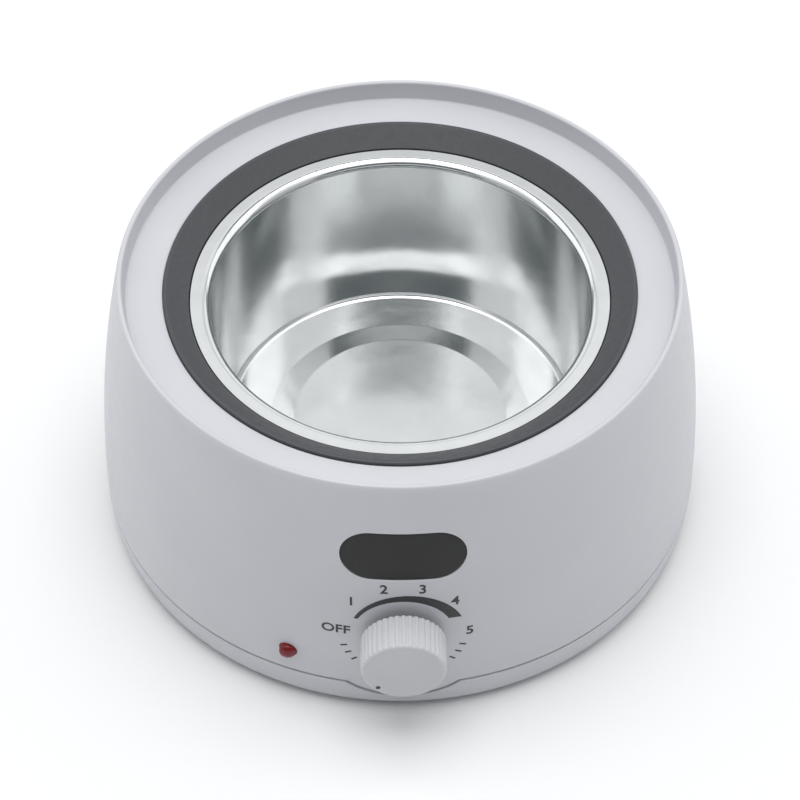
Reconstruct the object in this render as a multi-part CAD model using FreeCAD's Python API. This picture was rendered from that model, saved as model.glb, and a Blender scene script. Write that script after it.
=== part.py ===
import FreeCAD, Part
import math
import os

# Salon wax warmer pot: a round heated body with a lift-out pot, a dial and a display.
# Millimetres. The pot's axis is Z, the front with the dial faces -Y, the feet stand on Z = 0.

# Body shell
seam_height = 12.4
seam_gap = 0.4
side_arc_radius = 385.0
skirt_tuck = 1.6
wall = 2.2
lip_height = 6.0
lip_thickness = 1.6
shelf_width = 11.46
shelf_thickness = 2.6
shelf_corner_round = 0.8
tongue_drop = 5.3

# Base cover
foot_height = 2.0
base_floor = 2.4
base_edge_round = 1.8
base_corner_round = 2.0
spigot_height = 2.8
spigot_thickness = 1.5
spigot_clearance = 0.25
vent_count = 24
vent_length = 15.0
vent_width = 2.6
vent_circle = 30.0

# Rubber feet
foot_radius = 7.0
foot_taper = 0.8
foot_inset = 1.0
foot_edge_inset = 15.4
foot_count = 4

# Columns and screws that hold the base cover to the housing
column_count = 4
column_wall_gap = 1.4
column_radius = 4.6
column_rise = 2.6
rib_thickness = 1.8
screw_radius = 1.5
screw_head_radius = 2.8
screw_head_height = 2.0
screw_head_depth = 6.0
screw_bite = 10.0
screw_clearance = 0.2
pilot_gap = 0.05
driver_slot = 0.8

# Lift-out pot
pot_mouth_radius = 54.9
pot_rim_width = 5.5
pot_wall_lean = 2.8
pot_depth = 54.7
pot_sheet = 1.0
pot_rim_round = 2.6
pot_floor_round = 2.0
pot_disc_inset = 12.7
pot_disc_slope = 7.4
pot_disc_rise = 1.4
pot_disc_round = 0.8

# Insulating ring between the hot pot and the housing
ring_width = 7.2
ring_rebate = 1.3
ring_proud = 0.9
ring_edge_round = 0.5
ring_neck_width = 2.7
ring_hook_reach = 1.3
ring_hook_height = 4.0
ring_hook_angle = 12.0
ring_hook_count = 4
ring_ledge_thickness = 2.2
ring_clearance = 0.15
rim_below_shelf = 3.9
rim_side_gap = 0.4
rim_edge_step = 0.3

# Heating well and the heater clamped under it
well_gap = 0.6
well_sheet = 1.2
well_rim_round = 1.5
well_floor_round = 3.0
well_floor_gap = 0.3
room_under_well = 18.7
stud_radius = 2.5
stud_length = 10.5
heater_inset = 7.7
heater_bore = 8.0
heater_thickness = 2.2
heater_tab_width = 6.0
heater_tab_length = 9.0
heater_tab_thickness = 0.8
heater_tab_spread = 9.0
clamp_plate_margin = 1.5
clamp_plate_thickness = 1.5
clamp_plate_rim = 1.2
heater_nut_width = 8.0
heater_nut_height = 4.0
thread_gap = 0.05

# Heat shield over the base cover
shield_margin = 2.1
shield_sheet = 0.8
shield_rim = 5.0
shield_bend_round = 2.0
shield_bore = 9.0
shield_post_height = 6.8
shield_post_inset = 10.0
shield_post_radius = 3.6
shield_post_count = 3

# Small screws for the boards and the shield
small_screw_radius = 1.25
small_head_radius = 2.5
small_head_height = 1.6
small_screw_bite = 4.5

# Dial: knob, shaft and the rotary control behind the front wall
dial_height = 34.6
knob_radius = 12.0
knob_length = 11.0
knob_wall_gap = 1.7
knob_cap = 1.2
knob_edge_round = 0.9
flute_count = 40
flute_radius = 0.7
flute_depth = 0.3
knob_skirt = 2.4
knob_face = 2.2
hub_radius = 5.2
hub_clearance = 0.7
pointer_angle = -134.0
pointer_circle = 10.0
pointer_radius = 0.75
pointer_depth = 0.3
shaft_radius = 3.0
shaft_running_gap = 0.06
shaft_press_gap = 0.02
shaft_flat = 1.0
collar_radius = 4.6
collar_thickness = 2.0
collar_gap = 0.2
bush_radius = 4.7
bush_hole_gap = 0.2
bush_past_nut = 1.2
dial_nut_width = 13.0
dial_nut_height = 2.2
spot_face_radius = 9.0
spot_face_depth = 0.6
control_pad_radius = 12.5
control_pad_rise = 1.6
control_radius = 10.5
control_depth = 11.0
control_tab_width = 4.0
control_tab_length = 7.0
control_tab_thickness = 0.8
control_tab_spread = 6.0
control_tab_count = 3

# Display: smoked window, digit module and its board
window_width = 35.0
window_height = 17.3
window_below_shelf = 18.6
window_recess = 0.45
window_thickness = 1.0
window_ledge = 2.4
window_side_gap = 0.1
module_margin = 1.2
module_depth = 8.0
module_wall_gap = 0.6
digit_count = 3
digit_width = 6.0
digit_height = 7.6
digit_pocket = 0.4
board_thickness = 1.6
board_margin = 4.5
board_height = 18.0
display_post_radius = 2.8
display_post_gap = 0.6
lamp_azimuth = -21.6
lamp_height = 21.5
lamp_radius = 2.5
lamp_proud = 0.7
lamp_length = 9.5
lamp_flange = 0.5
lamp_flange_thickness = 1.0
lamp_hole_gap = 0.1
lamp_boss_wall = 1.4
lamp_cap_wall = 0.9
lamp_cap_grip = 2.5
lamp_pin_radius = 0.3
lamp_pin_length = 6.0
lamp_pin_spread = 1.27

# Sensor and thermal fuse pockets on the wall of the well
pocket_azimuths = (120.0, -120.0)
pocket_width = 9.0
pocket_reach = 6.5
pocket_height = 16.0
pocket_below_rim = 30.0
pocket_seat_gap = 0.05
probe_radius = 2.0
probe_length = 13.0
probe_gap = 0.1
probe_pin_radius = 0.4
probe_pin_length = 8.0

# Power board behind the well
power_board_width = 19.0
power_board_shield_gap = 0.9
power_board_rise = 4.6
power_post_radius = 3.2
power_post_inset = 3.4
relay_size = (19.0, 15.0, 15.5)
capacitor_size = (10.0, 7.0, 12.0)
terminal_size = (7.5, 9.0, 10.0)
component_gap = 1.2
terminal_entry_radius = 1.3
component_edge_round = 0.8

# Cord inlet at the back
inlet_above_spigot = 1.0
inlet_radius = 3.6
grommet_neck = 2.0
grommet_flange = 2.2
grommet_flange_thickness = 2.0
grommet_lip = 1.6
grommet_relief = 0.8
grommet_seat_gap = 0.1

# Heights and radii that follow from the sizes above
Vector = FreeCAD.Vector
ORIGIN = Vector(0, 0, 0)
UP = Vector(0, 0, 1)
BACK = Vector(0, 1, 0)

base_low = foot_height
floor_top = base_low + base_floor
well_floor_low = floor_top + room_under_well
well_floor_top = well_floor_low + well_sheet
pot_floor_top = well_floor_top + well_floor_gap + pot_sheet
pot_disc_top = pot_floor_top + pot_disc_rise
rim_top = pot_floor_top + pot_depth
shelf_top = rim_top + rim_below_shelf
shelf_low = shelf_top - shelf_thickness
body_top = shelf_top + lip_height
well_rim_top = rim_top - pot_sheet
ledge_top = well_rim_top - well_sheet
ledge_low = ledge_top - ring_ledge_thickness
column_low = seam_height + column_rise
window_height_centre = shelf_top - window_below_shelf
pot_rim_radius = pot_mouth_radius + pot_rim_width
pot_floor_radius = pot_mouth_radius - pot_wall_lean
pot_disc_radius = pot_floor_radius - pot_disc_inset
well_mouth_radius = pot_mouth_radius + pot_sheet + well_gap
well_floor_radius = pot_floor_radius + pot_sheet + well_gap
heater_radius = well_floor_radius - heater_inset
shield_radius = well_floor_radius + well_sheet + shield_margin
shield_post_circle = shield_radius - shield_post_inset
ring_radius = pot_rim_radius + rim_side_gap + ring_width
lip_inner = ring_radius + shelf_width
side_lean = side_arc_radius - math.sqrt(side_arc_radius ** 2 - (body_top - seam_height) ** 2)
body_radius = lip_inner + lip_thickness + side_lean
tongue_radius = dial_height - seam_height + tongue_drop
skirt_height = seam_height - base_low
skirt_arc_radius = (skirt_height ** 2 + skirt_tuck ** 2) / (2 * skirt_tuck)
FAR = 4 * body_radius


def side_radius(height, inset=0.0):
    """Radius of the body's side at a height: one long arc above the seam, one short arc below it."""
    arc = side_arc_radius if height >= seam_height else skirt_arc_radius
    return body_radius - arc + math.sqrt((arc - inset) ** 2 - (height - seam_height) ** 2)


def side_curve(low, high, inset=0.0):
    """Section points up the side from one height to another, as arcs that meet at the seam."""
    stops = [low, seam_height, high] if low < seam_height < high else [low, high]
    points = [(side_radius(low, inset), low)]
    for start, end in zip(stops, stops[1:]):
        middle = (start + end) / 2
        points.append((side_radius(middle, inset), middle, "arc"))
        points.append((side_radius(end, inset), end))
    return points


def section(points):
    """Closed face in the XZ plane. A point marked "arc" is the middle of an arc between its neighbours."""
    loop = list(points) + [points[0]]
    edges = []
    start = Vector(loop[0][0], 0, loop[0][1])
    through = None
    for point in loop[1:]:
        here = Vector(point[0], 0, point[1])
        if len(point) == 3:
            through = here
            continue
        if through is None:
            edges.append(Part.LineSegment(start, here).toShape())
        else:
            edges.append(Part.Arc(start, through, here).toShape())
        start = here
        through = None
    return Part.Face(Part.Wire(edges))


def turned(points):
    """Solid turned about Z from section points."""
    return section(points).revolve(ORIGIN, UP, 360)


def rounded_line(corners):
    """Open wire in the XZ plane through corners (radius, height, corner radius)."""
    spots = [Vector(r, 0, z) for r, z, _ in corners]
    edges = []
    start = spots[0]
    for index in range(1, len(corners) - 1):
        corner = spots[index]
        before = (spots[index - 1] - corner).normalize()
        after = (spots[index + 1] - corner).normalize()
        half_angle = before.getAngle(after) / 2
        bend = corners[index][2]
        reach = bend / math.tan(half_angle)
        middle = (before + after).normalize() * (bend / math.sin(half_angle) - bend)
        edges.append(Part.LineSegment(start, corner + before * reach).toShape())
        edges.append(Part.Arc(corner + before * reach, corner + middle, corner + after * reach).toShape())
        start = corner + after * reach
    edges.append(Part.LineSegment(start, spots[-1]).toShape())
    return Part.Wire(edges)


def spun_sheet(corners, thickness):
    """Pressed sheet turned about Z: its upper face follows the corners, its thickness lies behind."""
    face = rounded_line(corners).makeOffset2D(thickness, 0, True, True, False)
    return face.revolve(ORIGIN, UP, 360)


def rod_z(radius, low, high, place=(0, 0)):
    """Upright round bar between two heights."""
    return Part.makeCylinder(radius, high - low, Vector(place[0], place[1], low), UP)


def rods_z(radius, low, high, places):
    """Upright round bars at several places."""
    return [rod_z(radius, low, high, place) for place in places]


def rod_y(radius, front, back, x=0.0, z=0.0):
    """Round bar along Y, from its front end to its back end."""
    return Part.makeCylinder(radius, back - front, Vector(x, front, z), BACK)


def block(x_range, y_range, z_range):
    """Box between the given limits."""
    size = [high - low for low, high in (x_range, y_range, z_range)]
    return Part.makeBox(*size, Vector(x_range[0], y_range[0], z_range[0]))


def around(middle, size):
    """Limits of a length centred on a place."""
    return (middle - size / 2, middle + size / 2)


def stadium(length, width, depth):
    """Prism upward from Z = 0 with straight sides along X and round ends."""
    half = (length - width) / 2
    end = width / 2
    right = Part.Arc(Vector(half, -end, 0), Vector(half + end, 0, 0), Vector(half, end, 0)).toShape()
    left = Part.Arc(Vector(-half, end, 0), Vector(-half - end, 0, 0), Vector(-half, -end, 0)).toShape()
    upper = Part.LineSegment(Vector(half, end, 0), Vector(-half, end, 0)).toShape()
    lower = Part.LineSegment(Vector(-half, -end, 0), Vector(half, -end, 0)).toShape()
    return Part.Face(Part.Wire([right, upper, left, lower])).extrude(UP * depth)


def hexagon(width, height):
    """Six-sided prism upward from Z = 0, given its width across the flats."""
    corner = width / math.sqrt(3)
    points = [Vector(corner * math.cos(math.radians(60 * i)), corner * math.sin(math.radians(60 * i)), 0)
              for i in range(7)]
    return Part.Face(Part.makePolygon(points)).extrude(UP * height)


def facing_front(solid, front, x=0.0, z=0.0):
    """Turns a solid built upward so that its +Z looks to the front, and puts its foot at the place."""
    solid.rotate(ORIGIN, Vector(1, 0, 0), 90)
    solid.translate(Vector(x, front, z))
    return solid


def polar(circle, azimuth):
    """Place on a circle about the axis; azimuth 0 is the front, positive to the right."""
    angle = math.radians(azimuth)
    return (circle * math.sin(angle), -circle * math.cos(angle))


def ring_of(count, circle, start):
    """Evenly spaced places on a circle."""
    return [polar(circle, start + 360 * i / count) for i in range(count)]


def turn_to(solid, azimuth):
    """Turns a solid built at the front to an azimuth about the axis."""
    solid.rotate(ORIGIN, UP, azimuth)
    return solid


def rounded(solid, radius, places):
    """Rounds the circular edges about the axis at the given (radius, height) places."""
    edges = []
    for edge in solid.Edges:
        if not isinstance(edge.Curve, Part.Circle):
            continue
        middle = edge.Curve.Center
        spot = (edge.Curve.Radius, middle.z)
        if math.hypot(middle.x, middle.y) < 0.01:
            if any(math.dist(spot, place) < 0.01 for place in places):
                edges.append(edge)
    return solid.makeFillet(radius, edges)


def body_core(inset):
    """Everything inside the body's side at an inset, from under the base to over the lip."""
    return turned([(0, base_low), *side_curve(base_low, body_top, inset), (0, body_top)])


def joined(solids):
    """One solid from touching or overlapping solids."""
    return solids[0].fuse(solids[1:]).removeSplitter()


def group(solids):
    """Separate solids kept together as one node."""
    return Part.makeCompound(solids)


def pan_screw(radius, length, head_radius, head_height):
    """Screw along Z: the head's seat is at Z = 0, the shank goes up and the slotted head down."""
    head = Part.makeCylinder(head_radius, head_height, Vector(0, 0, -head_height), UP)
    slot = block(around(0, 2 * head_radius), around(0, driver_slot), (-head_height, -head_height / 2))
    shank = Part.makeCylinder(radius, length, ORIGIN, UP)
    return joined([head.cut(slot), shank])


column_circle = side_radius(shelf_low, wall) - column_wall_gap - column_radius
foot_circle = side_radius(base_low) - foot_edge_inset
column_places = ring_of(column_count, column_circle, 180 / column_count)
foot_places = ring_of(foot_count, foot_circle, 0)
shield_post_places = ring_of(shield_post_count, shield_post_circle, 180)
shield_post_top = floor_top + shield_post_height
shield_top = shield_post_top + shield_sheet

dial_wall = side_radius(dial_height)
knob_back = -dial_wall - knob_wall_gap
spot_face = -dial_wall + spot_face_depth
control_front = -dial_wall + wall + control_pad_rise
control_back = control_front + control_depth
dial_nut_front = spot_face - dial_nut_height
bush_front = dial_nut_front - bush_past_nut
hub_front = knob_back - knob_length + knob_face
hub_back = bush_front - hub_clearance
collar_front = control_front + collar_gap + collar_thickness

module_width = window_width - 2 * window_ledge - 2 * module_margin
module_height = window_height - 2 * window_ledge - 2 * module_margin
module_top_wall = side_radius(window_height_centre + module_height / 2, wall)
module_front = module_wall_gap - math.sqrt(module_top_wall ** 2 - (module_width / 2) ** 2)
display_board_front = module_front + module_depth
display_post_x = window_width / 2 + display_post_gap + display_post_radius
display_board_width = 2 * (display_post_x + board_margin)

lamp_x, lamp_wall = polar(side_radius(lamp_height), lamp_azimuth)
lamp_dome_base = lamp_wall - lamp_proud
lamp_seat = lamp_dome_base + lamp_length
lamp_boss_radius = lamp_radius + lamp_hole_gap + lamp_boss_wall

component_widths = [relay_size[0], capacitor_size[0], terminal_size[0]]
component_row = sum(component_widths) + component_gap * (len(component_widths) - 1)
relay_offset = (component_widths[0] - component_row) / 2
capacitor_offset = relay_offset + component_gap + (component_widths[0] + component_widths[1]) / 2
terminal_offset = capacitor_offset + component_gap + (component_widths[1] + component_widths[2]) / 2
power_board_length = component_row + 4 * power_post_inset
power_board_y = shield_radius + power_board_shield_gap + power_board_width / 2
power_board_low = floor_top + power_board_rise
power_board_top = power_board_low + board_thickness
grommet_flange_radius = inlet_radius + grommet_neck + grommet_flange
inlet_height = seam_height + spigot_height + inlet_above_spigot + grommet_flange_radius
power_post_places = [(side * (power_board_length / 2 - power_post_inset), power_board_y) for side in (-1, 1)]


def display_rods(radius, front, back):
    """Round bars along Y on the two lines where the display board is fastened."""
    return [rod_y(radius, front, back, side * display_post_x, window_height_centre) for side in (-1, 1)]


def window_prism(shrink):
    """Stadium bar through the front wall at the window, smaller than the recess all round."""
    bar = stadium(window_width - 2 * shrink, window_height - 2 * shrink, body_radius / 2)
    return facing_front(bar, -body_radius * 0.75, 0, window_height_centre)


def upper_housing():
    """White shell: side, lip, lid shelf, tongue over the seam, columns, bosses and openings."""
    tongue_low = dial_height - tongue_radius
    rebate_radius = ring_radius + ring_clearance
    rebate_low = shelf_top - ring_rebate
    hole_radius = ring_radius - ring_neck_width + ring_clearance
    shell = turned([
        *side_curve(tongue_low, body_top),
        (lip_inner, body_top),
        (lip_inner, shelf_top),
        (rebate_radius, shelf_top),
        (rebate_radius, rebate_low),
        (hole_radius, rebate_low),
        (hole_radius, shelf_low),
        *reversed(side_curve(tongue_low, shelf_low, wall)),
    ])
    shell = rounded(shell, 0.45 * lip_thickness, [(side_radius(body_top), body_top), (lip_inner, body_top)])
    shell = rounded(shell, shelf_corner_round, [(lip_inner, shelf_top)])

    # The side ends at the seam, except for the round tongue under the dial
    below_seam = rod_z(FAR, -FAR, seam_height + seam_gap / 2)
    tongue = rod_y(tongue_radius - seam_gap / 2, -FAR, 0, 0, dial_height)
    shell = shell.cut(below_seam.cut(tongue))

    inner_wall = body_core(wall / 2)
    extras = []
    for index, place in enumerate(column_places):
        extras.append(rod_z(column_radius, column_low, shelf_low + shelf_thickness / 2, place))
        rib_low = column_low + 2 * column_radius
        rib = block(around(0, rib_thickness), (-body_radius, -column_circle), (rib_low, shelf_low + wall / 2))
        azimuth = 180 / column_count + 360 * index / column_count
        extras.append(turn_to(rib, azimuth).common(inner_wall))
    extras.append(rod_y(control_pad_radius, -FAR, control_front, 0, dial_height).common(inner_wall))
    extras.append(rod_y(lamp_boss_radius, -FAR, lamp_seat, lamp_x, lamp_height).common(inner_wall))
    for post in display_rods(display_post_radius, -FAR, display_board_front):
        extras.append(post.common(inner_wall))
    shell = joined([shell, *extras])

    pilot_top = column_low + screw_bite + screw_clearance
    holes = rods_z(screw_radius - pilot_gap, column_low, pilot_top, column_places)
    holes.append(rod_y(spot_face_radius, -FAR, spot_face, 0, dial_height))
    holes.append(rod_y(bush_radius + bush_hole_gap, -FAR, control_front, 0, dial_height))
    holes.append(rod_y(lamp_radius + lamp_hole_gap, -FAR, lamp_seat, lamp_x, lamp_height))
    holes.append(rod_y(inlet_radius + grommet_neck + grommet_seat_gap, 0, FAR, 0, inlet_height))
    holes.append(window_prism(window_ledge))
    holes.append(window_prism(0).cut(body_core(window_recess + window_thickness)))
    pilot_front = display_board_front - small_screw_bite - screw_clearance
    holes += display_rods(small_screw_radius - pilot_gap, pilot_front, display_board_front)
    return shell.cut(holes)


def base_cover():
    """White dish that closes the body from below, with posts, vents, foot seats and the tongue's pocket."""
    spigot_outer = side_radius(seam_height, wall) - spigot_clearance
    spigot_inner = spigot_outer - spigot_thickness
    rim = seam_height - seam_gap / 2
    spigot_top = seam_height + spigot_height
    dish = turned([
        (0, base_low),
        *side_curve(base_low, rim),
        (spigot_outer, rim),
        (spigot_outer, spigot_top),
        (spigot_inner, spigot_top),
        (spigot_inner, floor_top),
        (0, floor_top),
    ])
    dish = rounded(dish, base_edge_round, [(side_radius(base_low), base_low)])
    dish = rounded(dish, base_corner_round, [(spigot_inner, floor_top)])
    pocket = rod_y(tongue_radius + seam_gap / 2, -FAR, 0, 0, dial_height)
    dish = dish.cut(pocket.cut(body_core(wall + spigot_clearance)))

    root = floor_top - base_floor / 2
    posts = rods_z(column_radius, root, column_low, column_places)
    posts += rods_z(shield_post_radius, root, shield_post_top, shield_post_places)
    posts += rods_z(power_post_radius, root, power_board_low, power_post_places)
    dish = joined([dish, *posts])

    head_seat = base_low + screw_head_depth
    holes = rods_z(screw_head_radius + screw_clearance, -FAR, head_seat, column_places)
    holes += rods_z(screw_radius + screw_clearance, -FAR, column_low, column_places)
    holes += rods_z(foot_radius + screw_clearance, -FAR, base_low + foot_inset, foot_places)
    pilot = small_screw_radius - pilot_gap
    pilot_depth = small_screw_bite + screw_clearance
    holes += rods_z(pilot, shield_post_top - pilot_depth, shield_post_top, shield_post_places)
    holes += rods_z(pilot, power_board_low - pilot_depth, power_board_low, power_post_places)
    for index in range(vent_count):
        slot = stadium(vent_length, vent_width, 4 * base_floor)
        slot.translate(Vector(vent_circle, 0, base_low - base_floor))
        holes.append(turn_to(slot, 360 * (index + 0.5) / vent_count))
    return dish.cut(holes)


def rubber_feet():
    """Four soft feet in the seats under the base cover."""
    feet = []
    for place in foot_places:
        low = Vector(place[0], place[1], 0)
        feet.append(Part.makeCone(foot_radius - foot_taper, foot_radius, base_low + foot_inset, low, UP))
    return group(feet)


def base_screws():
    """Screws up through the base cover's posts into the housing's columns."""
    head_seat = base_low + screw_head_depth
    length = column_low - head_seat + screw_bite
    screws = []
    for place in column_places:
        screw = pan_screw(screw_radius - pilot_gap, length, screw_head_radius, screw_head_height)
        screw.translate(Vector(place[0], place[1], head_seat))
        screws.append(screw)
    return group(screws)


def insulating_ring():
    """Dark heat-proof ring: funnel face, flange in the shelf's rebate, ledge for the well, snap hooks."""
    neck = ring_radius - ring_neck_width
    funnel_inner = pot_rim_radius + rim_side_gap
    ledge_inner = well_mouth_radius + max(well_rim_round, well_sheet) + ring_clearance
    flange_low = shelf_top - ring_rebate
    crown = shelf_top + ring_proud
    ring = turned([
        (neck, ledge_low),
        (neck, flange_low),
        (ring_radius, flange_low),
        (ring_radius, crown),
        (ring_radius - 2 * ring_edge_round, crown),
        (funnel_inner, rim_top + rim_edge_step),
        (funnel_inner, ledge_top),
        (ledge_inner, ledge_top),
        (ledge_inner, ledge_low),
    ])
    ring = rounded(ring, ring_edge_round, [(ring_radius, crown)])
    hook_top = shelf_low - ring_clearance
    hook_section = section([
        (neck - ring_clearance, hook_top),
        (neck + ring_hook_reach, hook_top),
        (neck + ring_hook_reach, hook_top - ring_hook_height / 4),
        (neck, hook_top - ring_hook_height),
        (neck - ring_clearance, hook_top - ring_hook_height),
    ])
    hooks = []
    for index in range(ring_hook_count):
        hook = hook_section.revolve(ORIGIN, UP, ring_hook_angle)
        hooks.append(turn_to(hook, 360 * index / ring_hook_count - ring_hook_angle / 2))
    return joined([ring, *hooks])


def wax_pot():
    """Lift-out aluminium pot: flat rim, tapered wall and a floor with a raised disc."""
    return spun_sheet([
        (pot_rim_radius, rim_top, 0),
        (pot_mouth_radius, rim_top, pot_rim_round),
        (pot_floor_radius, pot_floor_top, pot_floor_round),
        (pot_disc_radius, pot_floor_top, pot_disc_round),
        (pot_disc_radius - pot_disc_slope, pot_disc_top, pot_disc_round),
        (0, pot_disc_top, 0),
    ], pot_sheet)


def heating_well():
    """Fixed aluminium well that the pot hangs in, with the heater's stud under its floor."""
    cup = spun_sheet([
        (pot_rim_radius, well_rim_top, 0),
        (well_mouth_radius, well_rim_top, well_rim_round),
        (well_floor_radius, well_floor_top, well_floor_round),
        (0, well_floor_top, 0),
    ], well_sheet)
    stud = rod_z(stud_radius, well_floor_low - stud_length, well_floor_low + well_sheet / 2)
    return joined([cup, stud])


heater_low = well_floor_low - heater_thickness
clamp_plate_low = heater_low - clamp_plate_thickness


def heater_disc():
    """Flat mica heater against the well's floor, with its two connection tabs at the back."""
    disc = rod_z(heater_radius, heater_low, well_floor_low)
    disc = disc.cut(rod_z(heater_bore, heater_low, well_floor_low))
    tab_z = around((heater_low + well_floor_low) / 2, heater_tab_thickness)
    tabs = []
    for side in (-1, 1):
        x_range = around(side * heater_tab_spread, heater_tab_width)
        y_end = heater_radius + clamp_plate_margin + heater_tab_length
        tabs.append(block(x_range, (heater_radius - heater_tab_length, y_end), tab_z))
    return joined([disc, *tabs])


def heater_clamp_plate():
    """Pressed steel plate that the nut draws up against the heater."""
    outer = heater_radius + clamp_plate_margin
    plate = rod_z(outer, clamp_plate_low, heater_low)
    hollow = rod_z(outer - 2 * clamp_plate_rim, clamp_plate_low - clamp_plate_rim, clamp_plate_low)
    rim = rod_z(outer, clamp_plate_low - clamp_plate_rim, clamp_plate_low).cut(hollow)
    return joined([plate, rim]).cut(rod_z(stud_radius + screw_clearance, -FAR, FAR))


def heater_nut():
    """Nut on the well's stud under the clamp plate."""
    nut = hexagon(heater_nut_width, heater_nut_height)
    nut.translate(UP * (clamp_plate_low - heater_nut_height))
    return nut.cut(rod_z(stud_radius + thread_gap, -FAR, FAR))


def heat_shield():
    """Steel tray on the base cover's posts, under the heater."""
    tray = spun_sheet([
        (shield_radius, shield_top + shield_rim, 0),
        (shield_radius, shield_top, shield_bend_round),
        (shield_bore, shield_top, 0),
    ], shield_sheet)
    return tray.cut(rods_z(small_screw_radius + screw_clearance, -FAR, FAR, shield_post_places))


def screws_down(places, seat, grip):
    """Small screws with their heads on a seat, going down through a grip into posts."""
    screws = []
    for place in places:
        length = grip + small_screw_bite
        screw = pan_screw(small_screw_radius - pilot_gap, length, small_head_radius, small_head_height)
        screw.rotate(ORIGIN, Vector(1, 0, 0), 180)
        screw.translate(Vector(place[0], place[1], seat))
        screws.append(screw)
    return group(screws)


def shield_screws():
    """Screws that hold the heat shield to its posts."""
    return screws_down(shield_post_places, shield_top, shield_sheet)


def control_body():
    """Rotary control: round can behind the wall and the threaded bush that passes through it."""
    can = rod_y(control_radius, control_front, control_back, 0, dial_height)
    bush = rod_y(bush_radius, bush_front, control_front + collar_gap, 0, dial_height)
    bore = rod_y(shaft_radius + shaft_running_gap, -FAR, control_back - collar_thickness, 0, dial_height)
    chamber_radius = collar_radius + collar_gap
    chamber = rod_y(chamber_radius, collar_front - collar_gap, collar_front + collar_thickness + collar_gap,
                    0, dial_height)
    return joined([can, bush]).cut([bore, chamber])


def control_tabs():
    """Connection tabs at the back of the rotary control."""
    tabs = []
    for index in range(control_tab_count):
        x = control_tab_spread * (index - (control_tab_count - 1) / 2)
        y_range = (control_back, control_back + control_tab_length)
        z_range = around(dial_height - control_radius / 2, control_tab_width)
        tabs.append(block(around(x, control_tab_thickness), y_range, z_range))
    return group(tabs)


def dial_nut():
    """Flat nut that clamps the control's bush to the front wall."""
    nut = facing_front(hexagon(dial_nut_width, dial_nut_height), spot_face, 0, dial_height)
    return nut.cut(rod_y(bush_radius + thread_gap, -FAR, 0, 0, dial_height))


def shaft_profile(radius, front, back):
    """Round bar with one flat, as on the shaft's end and in the knob's hub."""
    bar = rod_y(radius, front, back, 0, dial_height)
    flat = dial_height + radius - shaft_flat
    return bar.cut(block((-FAR, FAR), (front, back), (flat, FAR)))


def control_shaft():
    """Turning shaft: round in the bush, a collar inside the can and a flat where the knob grips."""
    round_part = rod_y(shaft_radius, hub_back, control_back - collar_thickness - collar_gap, 0, dial_height)
    collar = rod_y(collar_radius, collar_front, collar_front + collar_thickness, 0, dial_height)
    return joined([round_part, collar, shaft_profile(shaft_radius, hub_front, hub_back)])


def fluted_bar(height):
    """Prism upward from Z = 0 with round flutes and narrow lands all round its side."""
    flute_circle = knob_radius + flute_radius - flute_depth
    reach = (flute_circle ** 2 + knob_radius ** 2 - flute_radius ** 2) / (2 * flute_circle * knob_radius)
    half_flute = math.degrees(math.acos(reach))
    pitch = 360 / flute_count
    edges = []
    for index in range(flute_count):
        middle = pitch * (index + 0.5)
        stops = [(knob_radius, middle - half_flute), (knob_radius - flute_depth, middle),
                 (knob_radius, middle + half_flute), (knob_radius, middle + pitch / 2),
                 (knob_radius, middle + pitch - half_flute)]
        spots = [Vector(*polar(*stop), 0) for stop in stops]
        edges.append(Part.Arc(spots[0], spots[1], spots[2]).toShape())
        edges.append(Part.Arc(spots[2], spots[3], spots[4]).toShape())
    return Part.Face(Part.Wire(edges)).extrude(UP * height)


def control_knob():
    """White knob: fluted side, smooth cap with a rounded edge, hollow back and a hub with a flat."""
    cap_radius = knob_radius - flute_depth
    bend = knob_edge_round * (1 - math.sqrt(0.5))
    cap = turned([
        (0, knob_length - knob_cap),
        (cap_radius, knob_length - knob_cap),
        (cap_radius, knob_length - knob_edge_round),
        (cap_radius - bend, knob_length - bend, "arc"),
        (cap_radius - knob_edge_round, knob_length),
        (0, knob_length),
    ])
    blank = joined([fluted_bar(knob_length - knob_cap), cap])
    hollow = rod_z(knob_radius - knob_skirt, -knob_length, knob_length - knob_face)
    hub_start = knob_back - hub_back
    hub = rod_z(hub_radius, hub_start, knob_length - knob_face)
    blank = blank.cut(hollow.cut(hub))
    blank = facing_front(blank, knob_back, 0, dial_height)
    return blank.cut([shaft_profile(shaft_radius + shaft_press_gap, hub_front, hub_back), knob_pointer()])


def knob_pointer():
    """Dark dot let into the knob's face; it points at the off mark at rest."""
    angle = math.radians(pointer_angle)
    face = knob_back - knob_length
    x = pointer_circle * math.sin(angle)
    z = dial_height + pointer_circle * math.cos(angle)
    return rod_y(pointer_radius, face, face + pointer_depth, x, z)


def display_window():
    """Smoked window let into the front wall, following its curve."""
    curve = body_core(window_recess).cut(body_core(window_recess + window_thickness))
    return window_prism(window_side_gap).common(curve)


def display_module():
    """Block with the digits, behind the window."""
    y_range = (module_front, display_board_front)
    body = block(around(0, module_width), y_range, around(window_height_centre, module_height))
    pockets = []
    for index in range(digit_count):
        x = module_width / digit_count * (index - (digit_count - 1) / 2)
        pocket_y = (module_front, module_front + digit_pocket)
        pockets.append(block(around(x, digit_width), pocket_y, around(window_height_centre, digit_height)))
    return body.cut(pockets)


def display_board():
    """Circuit board that carries the digit module on two posts of the housing."""
    y_range = (display_board_front, display_board_front + board_thickness)
    board = block(around(0, display_board_width), y_range, around(window_height_centre, board_height))
    return board.cut(display_rods(small_screw_radius + screw_clearance, -FAR, FAR))


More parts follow.
